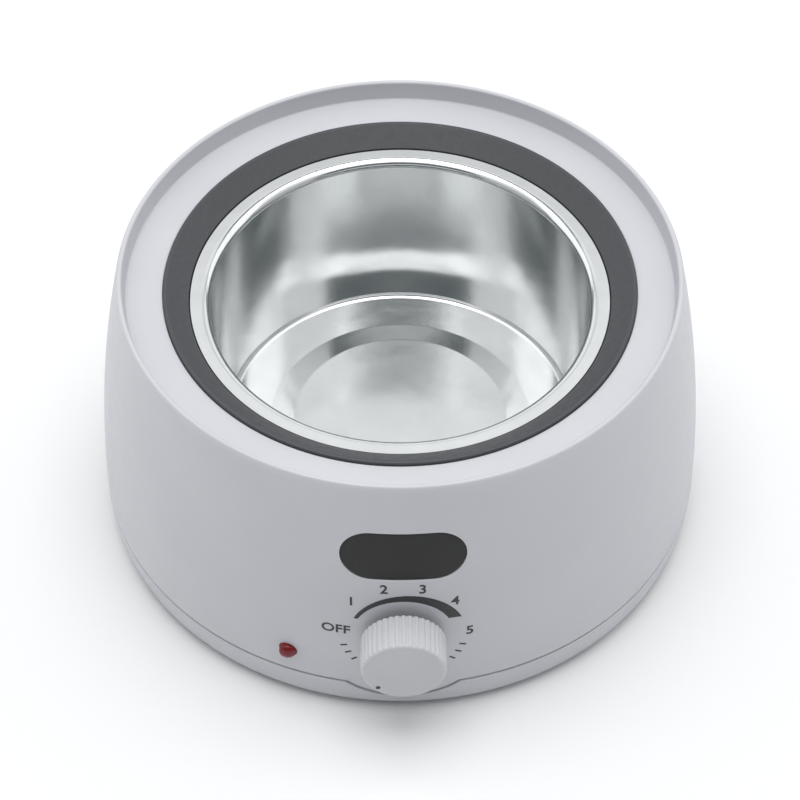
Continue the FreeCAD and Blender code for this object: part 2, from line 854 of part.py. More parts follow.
def display_screws():
    """Screws that hold the display board to its posts."""
    screws = []
    for side in (-1, 1):
        length = board_thickness + small_screw_bite
        screw = pan_screw(small_screw_radius - pilot_gap, length, small_head_radius, small_head_height)
        seat = display_board_front + board_thickness
        screws.append(facing_front(screw, seat, side * display_post_x, window_height_centre))
    return group(screws)


def indicator_lens():
    """Red indicator: domed body through the front wall, its flange and two pins behind."""
    flange_back = lamp_seat + lamp_flange_thickness
    dome_foot = lamp_flange_thickness + lamp_length
    diagonal = lamp_radius * math.sqrt(0.5)
    body = turned([
        (0, 0),
        (lamp_radius + lamp_flange, 0),
        (lamp_radius + lamp_flange, lamp_flange_thickness),
        (lamp_radius, lamp_flange_thickness),
        (lamp_radius, dome_foot),
        (diagonal, dome_foot + diagonal, "arc"),
        (0, dome_foot + lamp_radius),
    ])
    body = facing_front(body, flange_back, lamp_x, lamp_height)
    pins = [rod_y(lamp_pin_radius, lamp_seat, flange_back + lamp_pin_length, lamp_x + side * lamp_pin_spread,
                  lamp_height) for side in (-1, 1)]
    return joined([body, *pins])


def indicator_cap():
    """Black cap pressed over the lamp's boss to hold the indicator in."""
    back = lamp_seat + lamp_flange_thickness
    sleeve_front = lamp_seat - lamp_cap_grip
    bore = lamp_boss_radius + pilot_gap
    cap = rod_y(bore + lamp_cap_wall, sleeve_front, back + lamp_cap_wall, lamp_x, lamp_height)
    hollow = rod_y(bore, sleeve_front, back, lamp_x, lamp_height)
    pin_hole_radius = lamp_pin_radius + lamp_hole_gap
    pin_holes = [rod_y(pin_hole_radius, sleeve_front, FAR, lamp_x + side * lamp_pin_spread, lamp_height)
                 for side in (-1, 1)]
    return cap.cut([hollow, *pin_holes])


pocket_top = rim_top - pocket_below_rim
pocket_low = pocket_top - pocket_height


def well_outside(height):
    """Radius of the well's outer wall at a height."""
    share = (height - well_floor_top) / (well_rim_top - well_floor_top)
    return well_floor_radius + share * (well_mouth_radius - well_floor_radius) + well_sheet


pocket_face = well_outside(pocket_top) + pocket_seat_gap
probe_circle = pocket_face + pocket_reach / 2


def sensor_pockets():
    """Two aluminium blocks on the wall of the well, bored for the sensor and for the thermal fuse."""
    pockets = []
    for azimuth in pocket_azimuths:
        y_range = (-pocket_face - pocket_reach, -well_floor_radius)
        body = turn_to(block(around(0, pocket_width), y_range, (pocket_low, pocket_top)), azimuth)
        cone = Part.makeCone(well_outside(pocket_low) + pocket_seat_gap, pocket_face, pocket_height,
                             UP * pocket_low, UP)
        place = polar(probe_circle, azimuth)
        bore = rod_z(probe_radius + probe_gap, pocket_top - probe_length, pocket_top, place)
        pockets.append(body.cut([cone, bore]))
    return group(pockets)


def probe(azimuth):
    """Round capsule in its pocket with two pins out of its top."""
    place = polar(probe_circle, azimuth)
    low = pocket_top - probe_length
    capsule = rod_z(probe_radius, low, pocket_top + probe_radius, place)
    pin_spread = probe_radius / 2
    pins = [rod_z(probe_pin_radius, pocket_top, pocket_top + probe_radius + probe_pin_length,
                  (place[0] + side * pin_spread, place[1])) for side in (-1, 1)]
    return joined([capsule, *pins])


def temperature_sensor():
    """Sensor that feeds the display."""
    return probe(pocket_azimuths[0])


def thermal_fuse():
    """Fuse that cuts the heater if the well overheats."""
    return probe(pocket_azimuths[1])


def power_board():
    """Circuit board on two posts at the back of the base cover."""
    board = block(around(0, power_board_length), around(power_board_y, power_board_width),
                  (power_board_low, power_board_top))
    return board.cut(rods_z(small_screw_radius + screw_clearance, -FAR, FAR, power_post_places))


def board_part(size, offset):
    """Component standing on the power board."""
    width, depth, height = size
    z_range = (power_board_top, power_board_top + height)
    return block(around(offset, width), around(power_board_y, depth), z_range)


def eased(solid):
    """Rounds the upright edges of a component."""
    edges = [edge for edge in solid.Edges if abs(edge.tangentAt(edge.FirstParameter).z) > 0.99]
    return solid.makeFillet(component_edge_round, edges)


def relay():
    """Relay that switches the heater."""
    return eased(board_part(relay_size, relay_offset))


def capacitor():
    """Film capacitor of the board's supply."""
    return eased(board_part(capacitor_size, capacitor_offset))


def terminal_block():
    """Two-way terminal for the mains lead: wire entries at the back, screws from above."""
    body = board_part(terminal_size, terminal_offset)
    width, depth, height = terminal_size
    holes = []
    for side in (-1, 1):
        x = terminal_offset + side * width / 4
        entry_height = power_board_top + height / 3
        holes.append(rod_y(terminal_entry_radius, power_board_y, power_board_y + depth, x, entry_height))
        holes.append(rod_z(terminal_entry_radius, entry_height, power_board_top + height, (x, power_board_y)))
    return body.cut(holes)


def board_screws():
    """Screws that hold the power board to its posts."""
    return screws_down(power_post_places, power_board_top, board_thickness)


def cord_grommet():
    """Rubber bush of the cord inlet: two flanges gripping the back wall, and a lip that closes on the cord."""
    neck = inlet_radius + grommet_neck
    flange = grommet_flange_radius
    outer_seat = side_radius(inlet_height - flange) + grommet_seat_gap
    inner_wall = side_radius(inlet_height + flange, wall)
    inner_seat = math.sqrt(inner_wall ** 2 - flange ** 2) - grommet_seat_gap
    body = joined([
        rod_y(neck, inner_seat, outer_seat, 0, inlet_height),
        rod_y(flange, outer_seat, outer_seat + grommet_flange_thickness, 0, inlet_height),
        rod_y(flange, inner_seat - grommet_flange_thickness, inner_seat, 0, inlet_height),
    ])
    lip_back = outer_seat + grommet_flange_thickness
    relief = rod_y(inlet_radius + grommet_relief, 0, lip_back - grommet_lip, 0, inlet_height)
    return body.cut([rod_y(inlet_radius, 0, FAR, 0, inlet_height), relief])


nodes = (
    upper_housing,
    base_cover,
    rubber_feet,
    base_screws,
    insulating_ring,
    heating_well,
    heater_disc,
    heater_clamp_plate,
    heater_nut,
    heat_shield,
    shield_screws,
    control_body,
    control_tabs,
    dial_nut,
    control_shaft,
    control_knob,
    knob_pointer,
    display_window,
    display_module,
    display_board,
    display_screws,
    indicator_lens,
    indicator_cap,
    sensor_pockets,
    temperature_sensor,
    thermal_fuse,
    power_board,
    relay,
    capacitor,
    terminal_block,
    board_screws,
    cord_grommet,
    wax_pot,
)

os.makedirs("parts", exist_ok=True)
for node in nodes:
    shape = node()
    shape.exportStep("parts/" + node.__name__ + ".step")
    print(node.__name__, len(shape.Solids), "solids", round(shape.Volume, 1), "mm3", shape.isValid())
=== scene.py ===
import bmesh
import bpy
import math
from mathutils import Matrix, Vector


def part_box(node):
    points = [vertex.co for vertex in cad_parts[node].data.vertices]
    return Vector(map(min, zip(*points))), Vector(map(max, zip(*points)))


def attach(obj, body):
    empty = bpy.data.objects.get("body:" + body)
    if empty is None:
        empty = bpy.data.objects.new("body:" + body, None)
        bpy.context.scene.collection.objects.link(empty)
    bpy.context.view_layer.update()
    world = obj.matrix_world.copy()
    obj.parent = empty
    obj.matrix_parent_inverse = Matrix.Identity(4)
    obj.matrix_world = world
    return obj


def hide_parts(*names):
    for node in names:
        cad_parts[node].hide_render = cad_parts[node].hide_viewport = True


# Salon wax warmer pot, dressed around its solids. Metres. The front with the dial faces -Y.
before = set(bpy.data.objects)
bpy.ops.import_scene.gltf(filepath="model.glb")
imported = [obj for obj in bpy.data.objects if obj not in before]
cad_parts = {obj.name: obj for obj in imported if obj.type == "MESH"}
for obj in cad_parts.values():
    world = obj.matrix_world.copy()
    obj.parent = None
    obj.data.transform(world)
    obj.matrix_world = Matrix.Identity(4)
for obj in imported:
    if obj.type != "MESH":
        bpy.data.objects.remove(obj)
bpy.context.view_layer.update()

# Places read from the solids
housing_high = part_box("upper_housing")[1]
base_low, base_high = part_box("base_cover")
ring_low, ring_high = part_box("insulating_ring")
pot_low, pot_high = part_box("wax_pot")
well_low, well_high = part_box("heating_well")
knob_low, knob_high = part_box("control_knob")
window_low, window_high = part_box("display_window")
lamp_low, lamp_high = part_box("indicator_lens")
bush_low, bush_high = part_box("cord_grommet")
feet_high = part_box("rubber_feet")[1]
screws_low, screws_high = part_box("base_screws")
pointer_low, pointer_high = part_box("knob_pointer")

# Body shell
seam_height = 0.0124
seam_gap = 0.0007
tongue_gap_share = 1.5
side_arc = 0.385
skirt_tuck = 0.0016
wall = 0.0022
lip_thickness = 0.0016
lip_height = 0.006
lip_draft = 0.0006
shelf_thickness = 0.0026
shelf_fillet = 0.0006
ring_rebate = 0.0013
ring_slack = 0.00015
ring_neck = 0.0027
tongue_drop = 0.0053
edge_round = 0.0003
level_rows_from = 0.022
body_radius = housing_high.x
body_top = housing_high.z
ring_radius = ring_high.x
shelf_top = body_top - lip_height
dial_height = (knob_low.z + knob_high.z) / 2
tongue_radius = dial_height - seam_height + tongue_drop

# Base cover
base_floor = 0.0024
base_edge_round = 0.0018
spigot_slack = 0.00025
spigot_thickness = 0.0015
vent_count = 24
vent_length = 0.015
vent_width = 0.0026
vent_circle = 0.030
skirt_height = seam_height - base_low.z
skirt_arc = (skirt_height ** 2 + skirt_tuck ** 2) / (2 * skirt_tuck)

# Pot with the raised disc in its floor, and the well that it hangs in
disc_radius = 0.032
disc_rise = 0.0014
disc_slope_inset = 0.0127
pot_sheet = 0.001
pot_rim_width = 0.0055
well_sheet = 0.0012
well_rim_width = 0.0039
cup_taper = 0.0028

# Window, lamp and dial print on the front wall
window_side_gap = 0.0001
window_recess = 0.0002
window_thickness = 0.001
window_ledge = 0.0024
window_flare = 0.0001
window_width = window_high.x - window_low.x + 2 * window_side_gap
window_height = window_high.z - window_low.z + 2 * window_side_gap
window_centre = (window_high.z + window_low.z) / 2

# How close the extra points of a section stand to the ends of its straight runs
brace = 0.00012


def polar(radius, azimuth):
    """Place on a circle about the axis; azimuth 0 is the front, positive to the right."""
    return radius * math.sin(azimuth), -radius * math.cos(azimuth)


def side_radius(height, inset=0.0):
    """Radius of the body's side at a height: one long arc above the seam, one short arc below it."""
    arc = side_arc if height >= seam_height else skirt_arc
    return body_radius - arc + math.sqrt((arc - inset) ** 2 - (height - seam_height) ** 2)


def on_front(x, z, inset=0.0):
    """Point on the front wall, some way under its surface."""
    return Vector((x, -math.sqrt(side_radius(z, inset) ** 2 - x ** 2), z))


def steps(start, end, count):
    """Evenly spaced values from start to end, both kept."""
    return [start + (end - start) * i / count for i in range(count + 1)]


def braced_steps(start, end, count):
    """Steps with one more value close to each end, so that a flat run stays flat beside a rounded corner."""
    hair = math.copysign(brace, end - start)
    return [start, start + hair] + steps(start, end, count)[1:-1] + [end - hair, end]


def braced(path):
    """Section line with a point close to both ends of each long straight run."""
    full = [path[0]]
    for here, there in zip(path, path[1:]):
        a, b = Vector(here), Vector(there)
        run = b - a
        if run.length > 8 * brace:
            hair = run.normalized() * brace
            full += [tuple(a + hair), tuple(b - hair)]
        full.append(there)
    return full


def arc_points(centre, radius, start, end, count):
    """Points along an arc, angles in degrees from +X."""
    turns = [math.radians(a) for a in steps(start, end, count)]
    return [(centre[0] + radius * math.cos(t), centre[1] + radius * math.sin(t)) for t in turns]


def rounded_path(corners, count=8):
    """Section line through corners (radius, height, corner radius), with an arc at each rounded corner."""
    path = []
    for index, (r, z, bend) in enumerate(corners):
        if not bend:
            path.append((r, z))
            continue
        corner = Vector((r, z))
        before = (Vector(corners[index - 1][:2]) - corner).normalized()
        after = (Vector(corners[(index + 1) % len(corners)][:2]) - corner).normalized()
        half = before.angle(after) / 2
        centre = corner + (before + after).normalized() * (bend / math.sin(half))
        start = corner + before * (bend / math.tan(half)) - centre
        end = corner + after * (bend / math.tan(half)) - centre
        for share in steps(0, 1, count):
            spoke = start.lerp(end, share).normalized() * bend
            path.append(tuple(centre + spoke))
    return path


def new_piece(name, mesh):
    """Object at the origin that holds a mesh."""
    piece = bpy.data.objects.new(name, mesh)
    bpy.context.scene.collection.objects.link(piece)
    return piece


def solid_from(bm, name):
    """Merges doubles, points the faces outwards and keeps the result as an object."""
    bmesh.ops.remove_doubles(bm, verts=bm.verts, dist=1e-7)
    bmesh.ops.dissolve_degenerate(bm, edges=bm.edges, dist=1e-8)
    bmesh.ops.recalc_face_normals(bm, faces=bm.faces)
    mesh = bpy.data.meshes.new(name)
    bm.to_mesh(mesh)
    bm.free()
    return new_piece(name, mesh)


def from_rings(name, rings, ends):
    """Solid from rings of points: closed on each other, capped, or shut because the end rings are seams."""
    bm = bmesh.new()
    loops = [[bm.verts.new(point) for point in ring] for ring in rings]
    pairs = list(zip(loops, loops[1:]))
    if ends == "around":
        pairs.append((loops[-1], loops[0]))
    elif ends == "capped":
        bm.faces.new(loops[0])
        bm.faces.new(loops[-1])
    for here, there in pairs:
        for i in range(len(here)):
            j = (i + 1) % len(here)
            bm.faces.new((here[i], here[j], there[j], there[i]))
    return solid_from(bm, name)


def baked(piece):
    """Keeps what a piece's modifiers make as its plain mesh."""
    graph = bpy.context.evaluated_depsgraph_get()
    mesh = bpy.data.meshes.new_from_object(piece.evaluated_get(graph))
    piece.modifiers.clear()
    piece.data = mesh
    return piece


def cut_by(piece, cutters):
    """Cuts pieces out of a piece and removes them."""
    for cutter in cutters:
        modifier = piece.modifiers.new("cut", "BOOLEAN")
        modifier.operation = "DIFFERENCE"
        modifier.solver = "EXACT"
        modifier.object = cutter
    baked(piece)
    for cutter in cutters:
        bpy.data.objects.remove(cutter)
    return piece


# Node trees


def step(tree, kind, inputs=None, **settings):
    """Adds a node with its settings, and joins or sets its inputs."""
    node = tree.nodes.new(kind)
    for key, value in settings.items():
        setattr(node, key, value)
    for key, value in (inputs or {}).items():
        if isinstance(value, bpy.types.NodeSocket):
            tree.links.new(value, node.inputs[key])
        else:
            node.inputs[key].default_value = value
    return node


def new_tree(name, sizes):
    """Geometry tree with a named input for each size; gives the tree and its input sockets."""
    tree = bpy.data.node_groups.new(name, "GeometryNodeTree")
    tree.interface.new_socket("Geometry", in_out="INPUT", socket_type="NodeSocketGeometry")
    for label, kind in sizes.items():
        tree.interface.new_socket(label, in_out="INPUT", socket_type="NodeSocket" + kind)
    tree.interface.new_socket("Material", in_out="INPUT", socket_type="NodeSocketMaterial")
    tree.interface.new_socket("Geometry", in_out="OUTPUT", socket_type="NodeSocketGeometry")
    return tree, tree.nodes.new("NodeGroupInput").outputs


def close_tree(tree, geometry, sockets):
    """Realizes the instances, sets the material and ends the tree."""
    real = step(tree, "GeometryNodeRealizeInstances", {"Geometry": geometry})
    inputs = {"Geometry": real.outputs[0], "Material": sockets["Material"]}
    coated = step(tree, "GeometryNodeSetMaterial", inputs)
    step(tree, "NodeGroupOutput", {"Geometry": coated.outputs[0]})
    return tree


def grown(piece, tree, material, **sizes):
    """Runs a tree on a piece with the given sizes and keeps the plain mesh."""
    values = {label.replace("_", " "): value for label, value in sizes.items()}
    values["Material"] = material
    modifier = piece.modifiers.new(tree.name, "NODES")
    modifier.node_group = tree
    for item in tree.interface.items_tree:
        if item.in_out == "INPUT" and item.name in values:
            modifier[item.identifier] = values[item.name]
    return baked(piece)


def turned_tree():
    """Sweeps a section line round the axis."""
    tree, sockets = new_tree("turned", {"Segments": "Int", "Path radius": "Float"})
    line = step(tree, "GeometryNodeMeshToCurve", {"Mesh": sockets["Geometry"]})
    circle = step(tree, "GeometryNodeCurvePrimitiveCircle",
                  {"Resolution": sockets["Segments"], "Radius": sockets["Path radius"]})
    upright = step(tree, "GeometryNodeSetCurveNormal", {"Curve": circle.outputs[0]}, mode="Z_UP")
    inputs = {"Curve": upright.outputs[0], "Profile Curve": line.outputs[0]}
    swept = step(tree, "GeometryNodeCurveToMesh", inputs)
    return close_tree(tree, swept.outputs[0], sockets)


def set_round(tree, points, instance):
    """Sets a piece on each point, turned to look outwards from the axis."""
    place = step(tree, "GeometryNodeInputPosition")
    facing = step(tree, "FunctionNodeAlignRotationToVector", {"Vector": place.outputs[0]},
                  axis="X", pivot_axis="Z")
    inputs = {"Points": points, "Instance": instance, "Rotation": facing.outputs[0]}
    return step(tree, "GeometryNodeInstanceOnPoints", inputs).outputs[0]


def round_row_tree():
    """Repeats a piece evenly on a circle, each turned to look outwards."""
    tree, sockets = new_tree("round row", {"Count": "Int", "Circle": "Float", "Start angle": "Float"})
    ring = step(tree, "GeometryNodeMeshCircle", {"Vertices": sockets["Count"], "Radius": sockets["Circle"]})
    turn = step(tree, "ShaderNodeCombineXYZ", {"Z": sockets["Start angle"]})
    ring = step(tree, "GeometryNodeTransform", {"Geometry": ring.outputs[0], "Rotation": turn.outputs[0]})
    return close_tree(tree, set_round(tree, ring.outputs[0], sockets["Geometry"]), sockets)


def flute_tree():
    """Presses round flutes into the side of a turned piece, fading out over its rounded edge."""
    tree, sockets = new_tree("flutes", {"Count": "Int", "Depth": "Float", "Flute share": "Float",
                                        "Fade start": "Float", "Fade end": "Float", "Inner radius": "Float"})

    def calc(operation, *values):
        return step(tree, "ShaderNodeMath", dict(enumerate(values)), operation=operation).outputs[0]

    place = step(tree, "GeometryNodeInputPosition").outputs[0]
    x, y, z = step(tree, "ShaderNodeSeparateXYZ", {"Vector": place}).outputs
    turns = calc("DIVIDE", calc("ARCTAN2", y, x), math.tau)
    phase = calc("FRACT", calc("MULTIPLY", turns, sockets["Count"]))
    off_middle = calc("DIVIDE", calc("ABSOLUTE", calc("SUBTRACT", phase, 0.5)), 0.5)
    across = calc("DIVIDE", off_middle, sockets["Flute share"])
    hollow = calc("MAXIMUM", calc("SUBTRACT", 1.0, calc("MULTIPLY", across, across)), 0.0)
    fade = step(tree, "ShaderNodeMapRange", {"Value": z, "From Min": sockets["Fade start"],
                                             "From Max": sockets["Fade end"], "To Min": 1.0, "To Max": 0.0},
                interpolation_type="SMOOTHSTEP").outputs[0]
    radius = calc("SQRT", calc("ADD", calc("MULTIPLY", x, x), calc("MULTIPLY", y, y)))
    outside = calc("GREATER_THAN", radius, sockets["Inner radius"])
    press = calc("MULTIPLY", calc("MULTIPLY", hollow, fade), calc("MULTIPLY", outside, sockets["Depth"]))
    shrink = calc("DIVIDE", press, calc("MAXIMUM", radius, 0.0001))
    move = step(tree, "ShaderNodeCombineXYZ", {"X": calc("MULTIPLY", calc("MULTIPLY", x, shrink), -1.0),
                                               "Y": calc("MULTIPLY", calc("MULTIPLY", y, shrink), -1.0)})
    inputs = {"Geometry": sockets["Geometry"], "Offset": move.outputs[0]}
    pressed = step(tree, "GeometryNodeSetPosition", inputs)
    return close_tree(tree, pressed.outputs[0], sockets)


def slot_cut_tree():
    """Cuts a round row of slots out of a piece."""
    tree, sockets = new_tree("slot row", {"Slot": "Object", "Count": "Int", "Circle": "Float"})
    ring = step(tree, "GeometryNodeMeshCircle", {"Vertices": sockets["Count"], "Radius": sockets["Circle"]})
    slot = step(tree, "GeometryNodeObjectInfo", {"Object": sockets["Slot"]})
    row = set_round(tree, ring.outputs[0], slot.outputs["Geometry"])
    slots = step(tree, "GeometryNodeRealizeInstances", {"Geometry": row})
    cut = step(tree, "GeometryNodeMeshBoolean", operation="DIFFERENCE", solver="EXACT")
    tree.links.new(sockets["Geometry"], cut.inputs["Mesh 1"])
    tree.links.new(slots.outputs[0], cut.inputs["Mesh 2"])
    return close_tree(tree, cut.outputs[0], sockets)


turned_sweep = turned_tree()
round_row = round_row_tree()
flutes = flute_tree()
slot_row = slot_cut_tree()
path_radius = 0.05


def turned(name, path, material, segments, closed=False):
    """Solid turned about Z from a section line of (radius, height) points."""
    mesh = bpy.data.meshes.new(name)
    path = braced(path)
    points = [(r - path_radius, -z, 0) for r, z in path]
    edges = [(i, i + 1) for i in range(len(path) - 1)]
    if closed:
        edges.append((len(path) - 1, 0))
    mesh.from_pydata(points, edges, [])
    piece = grown(new_piece(name, mesh), turned_sweep, material, Segments=segments, Path_radius=path_radius)
    bm = bmesh.new()
    bm.from_mesh(piece.data)
    bmesh.ops.remove_doubles(bm, verts=bm.verts, dist=1e-6)
    bmesh.ops.recalc_face_normals(bm, faces=bm.faces)
    bm.to_mesh(piece.data)
    bm.free()
    return piece


def facing_front(piece, x, y, z):
    """Turns a piece built upward so that its +Z looks to the front, and moves its foot to a place."""
    piece.data.transform(Matrix.Translation((x, y, z)) @ Matrix.Rotation(math.radians(90), 4, "X"))
    return piece


# Finishes


class Finish:
    """Material with a main shader, and short ways to drive it from patterns on the piece."""

    def __init__(self, name, colour, roughness, metallic=0.0, **sockets):
        self.material = bpy.data.materials.new(name)
        self.material.use_nodes = True
        self.tree = self.material.node_tree
        self.tree.nodes.clear()
        self.shader = step(self.tree, "ShaderNodeBsdfPrincipled")
        self.colour = colour
        self.roughness = roughness
        self.set("Base Color", (*colour, 1))
        self.set("Roughness", roughness)
        self.set("Metallic", metallic)
        for label, value in sockets.items():
            self.set(label.replace("_", " "), value)
        step(self.tree, "ShaderNodeOutputMaterial", {"Surface": self.shader.outputs[0]})
        self.place = step(self.tree, "ShaderNodeTexCoord").outputs["Object"]
        self.bump = None

    def set(self, label, value):
        self.shader.inputs[label].default_value = value

    def add(self, kind, inputs=None, **settings):
        return step(self.tree, kind, inputs, **settings)

    def link(self, socket, label):
        self.tree.links.new(socket, self.shader.inputs[label])

    def calc(self, operation, *values):
        return self.add("ShaderNodeMath", dict(enumerate(values)), operation=operation).outputs[0]

    def noise(self, size, detail=2.0, vector=None, stretch=None):
        """Soft random pattern whose patches are about one size across."""
        place = vector or self.place
        if stretch:
            place = self.add("ShaderNodeMapping", {"Vector": place, "Scale": stretch}).outputs[0]
        pattern = self.add("ShaderNodeTexNoise", {"Vector": place, "Scale": 1 / size, "Detail": detail})
        return pattern.outputs["Fac"]

    def range(self, value, low, high, start=0.3, end=0.7):
        """Maps a pattern to a range of values."""
        limits = {"Value": value, "From Min": start, "From Max": end, "To Min": low, "To Max": high}
        return self.add("ShaderNodeMapRange", limits).outputs[0]

    def mottle(self, pattern, tint, amount=1.0):
        """Colours the surface between the main colour and a tint by a pattern."""
        mix = self.add("ShaderNodeMix", {"Factor": self.range(pattern, 0, amount)}, data_type="RGBA")
        mix.inputs[6].default_value = (*self.colour, 1)
        mix.inputs[7].default_value = (*tint, 1)
        self.link(mix.outputs[2], "Base Color")

    def polish(self, pattern, spread):
        """Lets the roughness wander about its middle by a pattern."""
        self.link(self.range(pattern, self.roughness - spread, self.roughness + spread), "Roughness")

    def relief(self, pattern, height):
        """Adds relief of a pattern, its height in metres, on top of what is there."""
        inputs = {"Height": pattern, "Distance": height, "Strength": 1.0}
        if self.bump:
            inputs["Normal"] = self.bump
        self.bump = self.add("ShaderNodeBump", inputs).outputs[0]
        self.link(self.bump, "Normal")


def moulded_plastic(name, colour, tint, roughness):
    """Moulded plastic: faint mottling, uneven sheen, fine grain and slow waves of the mould."""
    finish = Finish(name, colour, roughness)
    finish.mottle(finish.noise(0.03, 3.0), tint)
    finish.polish(finish.noise(0.004), 0.04)
    finish.relief(finish.noise(0.0004, 3.0), 0.000004)
    finish.relief(finish.noise(0.02), 0.00003)
    return finish.material


def sheet_metal(name, colour, tint, roughness):
    """Plain sheet or plated metal with faint clouds and rolling marks."""
    finish = Finish(name, colour, roughness, metallic=1.0)
    finish.mottle(finish.noise(0.008, 4.0), tint)
    finish.polish(finish.noise(0.003), 0.08)
    finish.relief(finish.noise(0.0006, stretch=(1, 8, 8)), 0.000004)
    return finish.material


def spun_metal(name, colour, tint, roughness, disc_roughness, outside=None):
    """Spun, polished aluminium: fine rings, soft dents, a duller disc and, where given, a satin outside."""
    satin_roughness = 0.42
    satin_clouds = 0.25
    ring_spread = 0.006
    finish = Finish(name, colour, roughness, metallic=1.0)
    parts = finish.add("ShaderNodeSeparateXYZ", {"Vector": finish.place}).outputs
    flat = finish.add("ShaderNodeCombineXYZ", {"X": parts["X"], "Y": parts["Y"]}).outputs[0]
    radius = finish.add("ShaderNodeVectorMath", {0: flat}, operation="LENGTH").outputs["Value"]
    rings = finish.add("ShaderNodeCombineXYZ", {"X": radius, "Y": parts["Z"]}).outputs[0]
    turning = finish.noise(0.0007, 3.0, vector=rings)
    dull = finish.range(radius, disc_roughness, roughness, 0.97 * disc_radius, 1.01 * disc_radius)
    clouds = finish.range(finish.noise(0.012, 4.0), 0.3, 0.4)
    if outside:
        foot, lean, top = outside
        beyond = finish.calc("GREATER_THAN", radius, finish.calc("MULTIPLY_ADD", parts["Z"], lean, foot))
        satin = finish.calc("MULTIPLY", beyond, finish.calc("LESS_THAN", parts["Z"], top))
        dull = finish.calc("MAXIMUM", dull, finish.calc("MULTIPLY", satin, satin_roughness))
        clouds = finish.calc("ADD", clouds, finish.calc("MULTIPLY", satin, satin_clouds))
    finish.mottle(clouds, tint)
    finish.link(finish.calc("ADD", dull, finish.range(turning, -ring_spread, ring_spread)), "Roughness")
    finish.relief(finish.noise(0.016), 0.0001)
    return finish.material


def smoked_plastic(name):
    """Dark smoked window with a faint haze and fine wiping marks."""
    finish = Finish(name, (0.006, 0.006, 0.006), 0.32, IOR=1.42)
    finish.mottle(finish.noise(0.006, 3.0), (0.008, 0.008, 0.008))
    finish.polish(finish.noise(0.002, 3.0, stretch=(0.3, 1, 3)), 0.05)
    finish.relief(finish.noise(0.0006), 0.000002)
    return finish.material


def lamp_plastic(name):
    """Clear red lamp plastic, uneven in depth."""
    finish = Finish(name, (0.24, 0.006, 0.008), 0.25, IOR=1.45)
    finish.mottle(finish.noise(0.0012, 2.0), (0.12, 0.004, 0.006))
    finish.polish(finish.noise(0.0015), 0.04)
    finish.relief(finish.noise(0.0008), 0.000004)
    return finish.material


def soft_rubber(name, colour):
    """Matt rubber with a fine skin and dusty patches."""
    finish = Finish(name, colour, 0.72)
    finish.mottle(finish.noise(0.004, 4.0), tuple(min(1.0, c * 1.7) for c in colour), 0.6)
    finish.polish(finish.noise(0.001), 0.08)
    finish.relief(finish.noise(0.0005, 4.0), 0.00001)
    return finish.material


def heat_proof_resin(name):
    """Dark grey heat-proof moulding: matt, with fine filler specks."""
    finish = Finish(name, (0.050, 0.053, 0.058), 0.5)
    finish.mottle(finish.noise(0.0005, 4.0), (0.066, 0.070, 0.076))
    finish.polish(finish.noise(0.002), 0.06)
    finish.relief(finish.noise(0.0004, 4.0), 0.000006)
    return finish.material


def printed_ink(name):
    """Dark grey pad-printed ink with slightly uneven cover."""
    finish = Finish(name, (0.030, 0.031, 0.034), 0.55)
    finish.mottle(finish.noise(0.0006, 4.0), (0.044, 0.045, 0.050))
    finish.polish(finish.noise(0.0005), 0.06)
    finish.relief(finish.noise(0.0003), 0.000002)
    return finish.material


def circuit_board(name):
    """Green solder mask over copper tracks."""
    finish = Finish(name, (0.012, 0.085, 0.030), 0.3)
    tracks = finish.add("ShaderNodeTexBrick", {"Vector": finish.place, "Scale": 160.0, "Mortar Size": 0.03})
    finish.mottle(tracks.outputs["Fac"], (0.030, 0.150, 0.055))
    finish.polish(finish.noise(0.003), 0.06)
    finish.relief(tracks.outputs["Fac"], 0.00002)
    return finish.material


def mica_sheet(name):
    """Layered mica with pale flakes and a faint sheen."""
    finish = Finish(name, (0.34, 0.25, 0.15), 0.42)
    flakes = finish.add("ShaderNodeTexVoronoi", {"Vector": finish.place, "Scale": 260.0}).outputs["Distance"]
    finish.mottle(flakes, (0.52, 0.42, 0.28))
    finish.polish(finish.noise(0.002), 0.1)
    finish.relief(flakes, 0.00002)
    return finish.material


housing_white = moulded_plastic("housing_white", (0.59, 0.59, 0.624), (0.57, 0.57, 0.606), 0.38)
knob_white = moulded_plastic("knob_white", (0.57, 0.57, 0.59), (0.55, 0.55, 0.57), 0.42)
ring_grey = heat_proof_resin("ring_grey")
# Cone between the pot's inside and outside: radius at z = 0, widening with height, and its top
pot_middle = (0.0513, 0.0512, pot_high.z - 0.0012)
pot_aluminium = spun_metal("pot_aluminium", (0.86, 0.87, 0.87), (0.64, 0.65, 0.66), 0.16, 0.22, pot_middle)
well_aluminium = spun_metal("well_aluminium", (0.62, 0.62, 0.63), (0.44, 0.44, 0.45), 0.36, 0.42)
plated_steel = sheet_metal("plated_steel", (0.58, 0.58, 0.60), (0.50, 0.50, 0.50), 0.32)
contact_brass = sheet_metal("contact_brass", (0.72, 0.52, 0.24), (0.60, 0.42, 0.18), 0.34)
smoked_window = smoked_plastic("smoked_window")
lamp_red = lamp_plastic("lamp_red")
foot_rubber = soft_rubber("foot_rubber", (0.035, 0.035, 0.037))
dial_ink = printed_ink("dial_ink")
black_plastic = moulded_plastic("black_plastic", (0.022, 0.022, 0.024), (0.03, 0.03, 0.032), 0.45)
board_green = circuit_board("board_green")
heater_mica = mica_sheet("heater_mica")
relay_blue = moulded_plastic("relay_blue", (0.02, 0.09, 0.32), (0.03, 0.11, 0.36), 0.4)
capacitor_yellow = moulded_plastic("capacitor_yellow", (0.72, 0.48, 0.06), (0.76, 0.52, 0.09), 0.45)
terminal_green = moulded_plastic("terminal_green", (0.03, 0.30, 0.10), (0.04, 0.34, 0.12), 0.45)


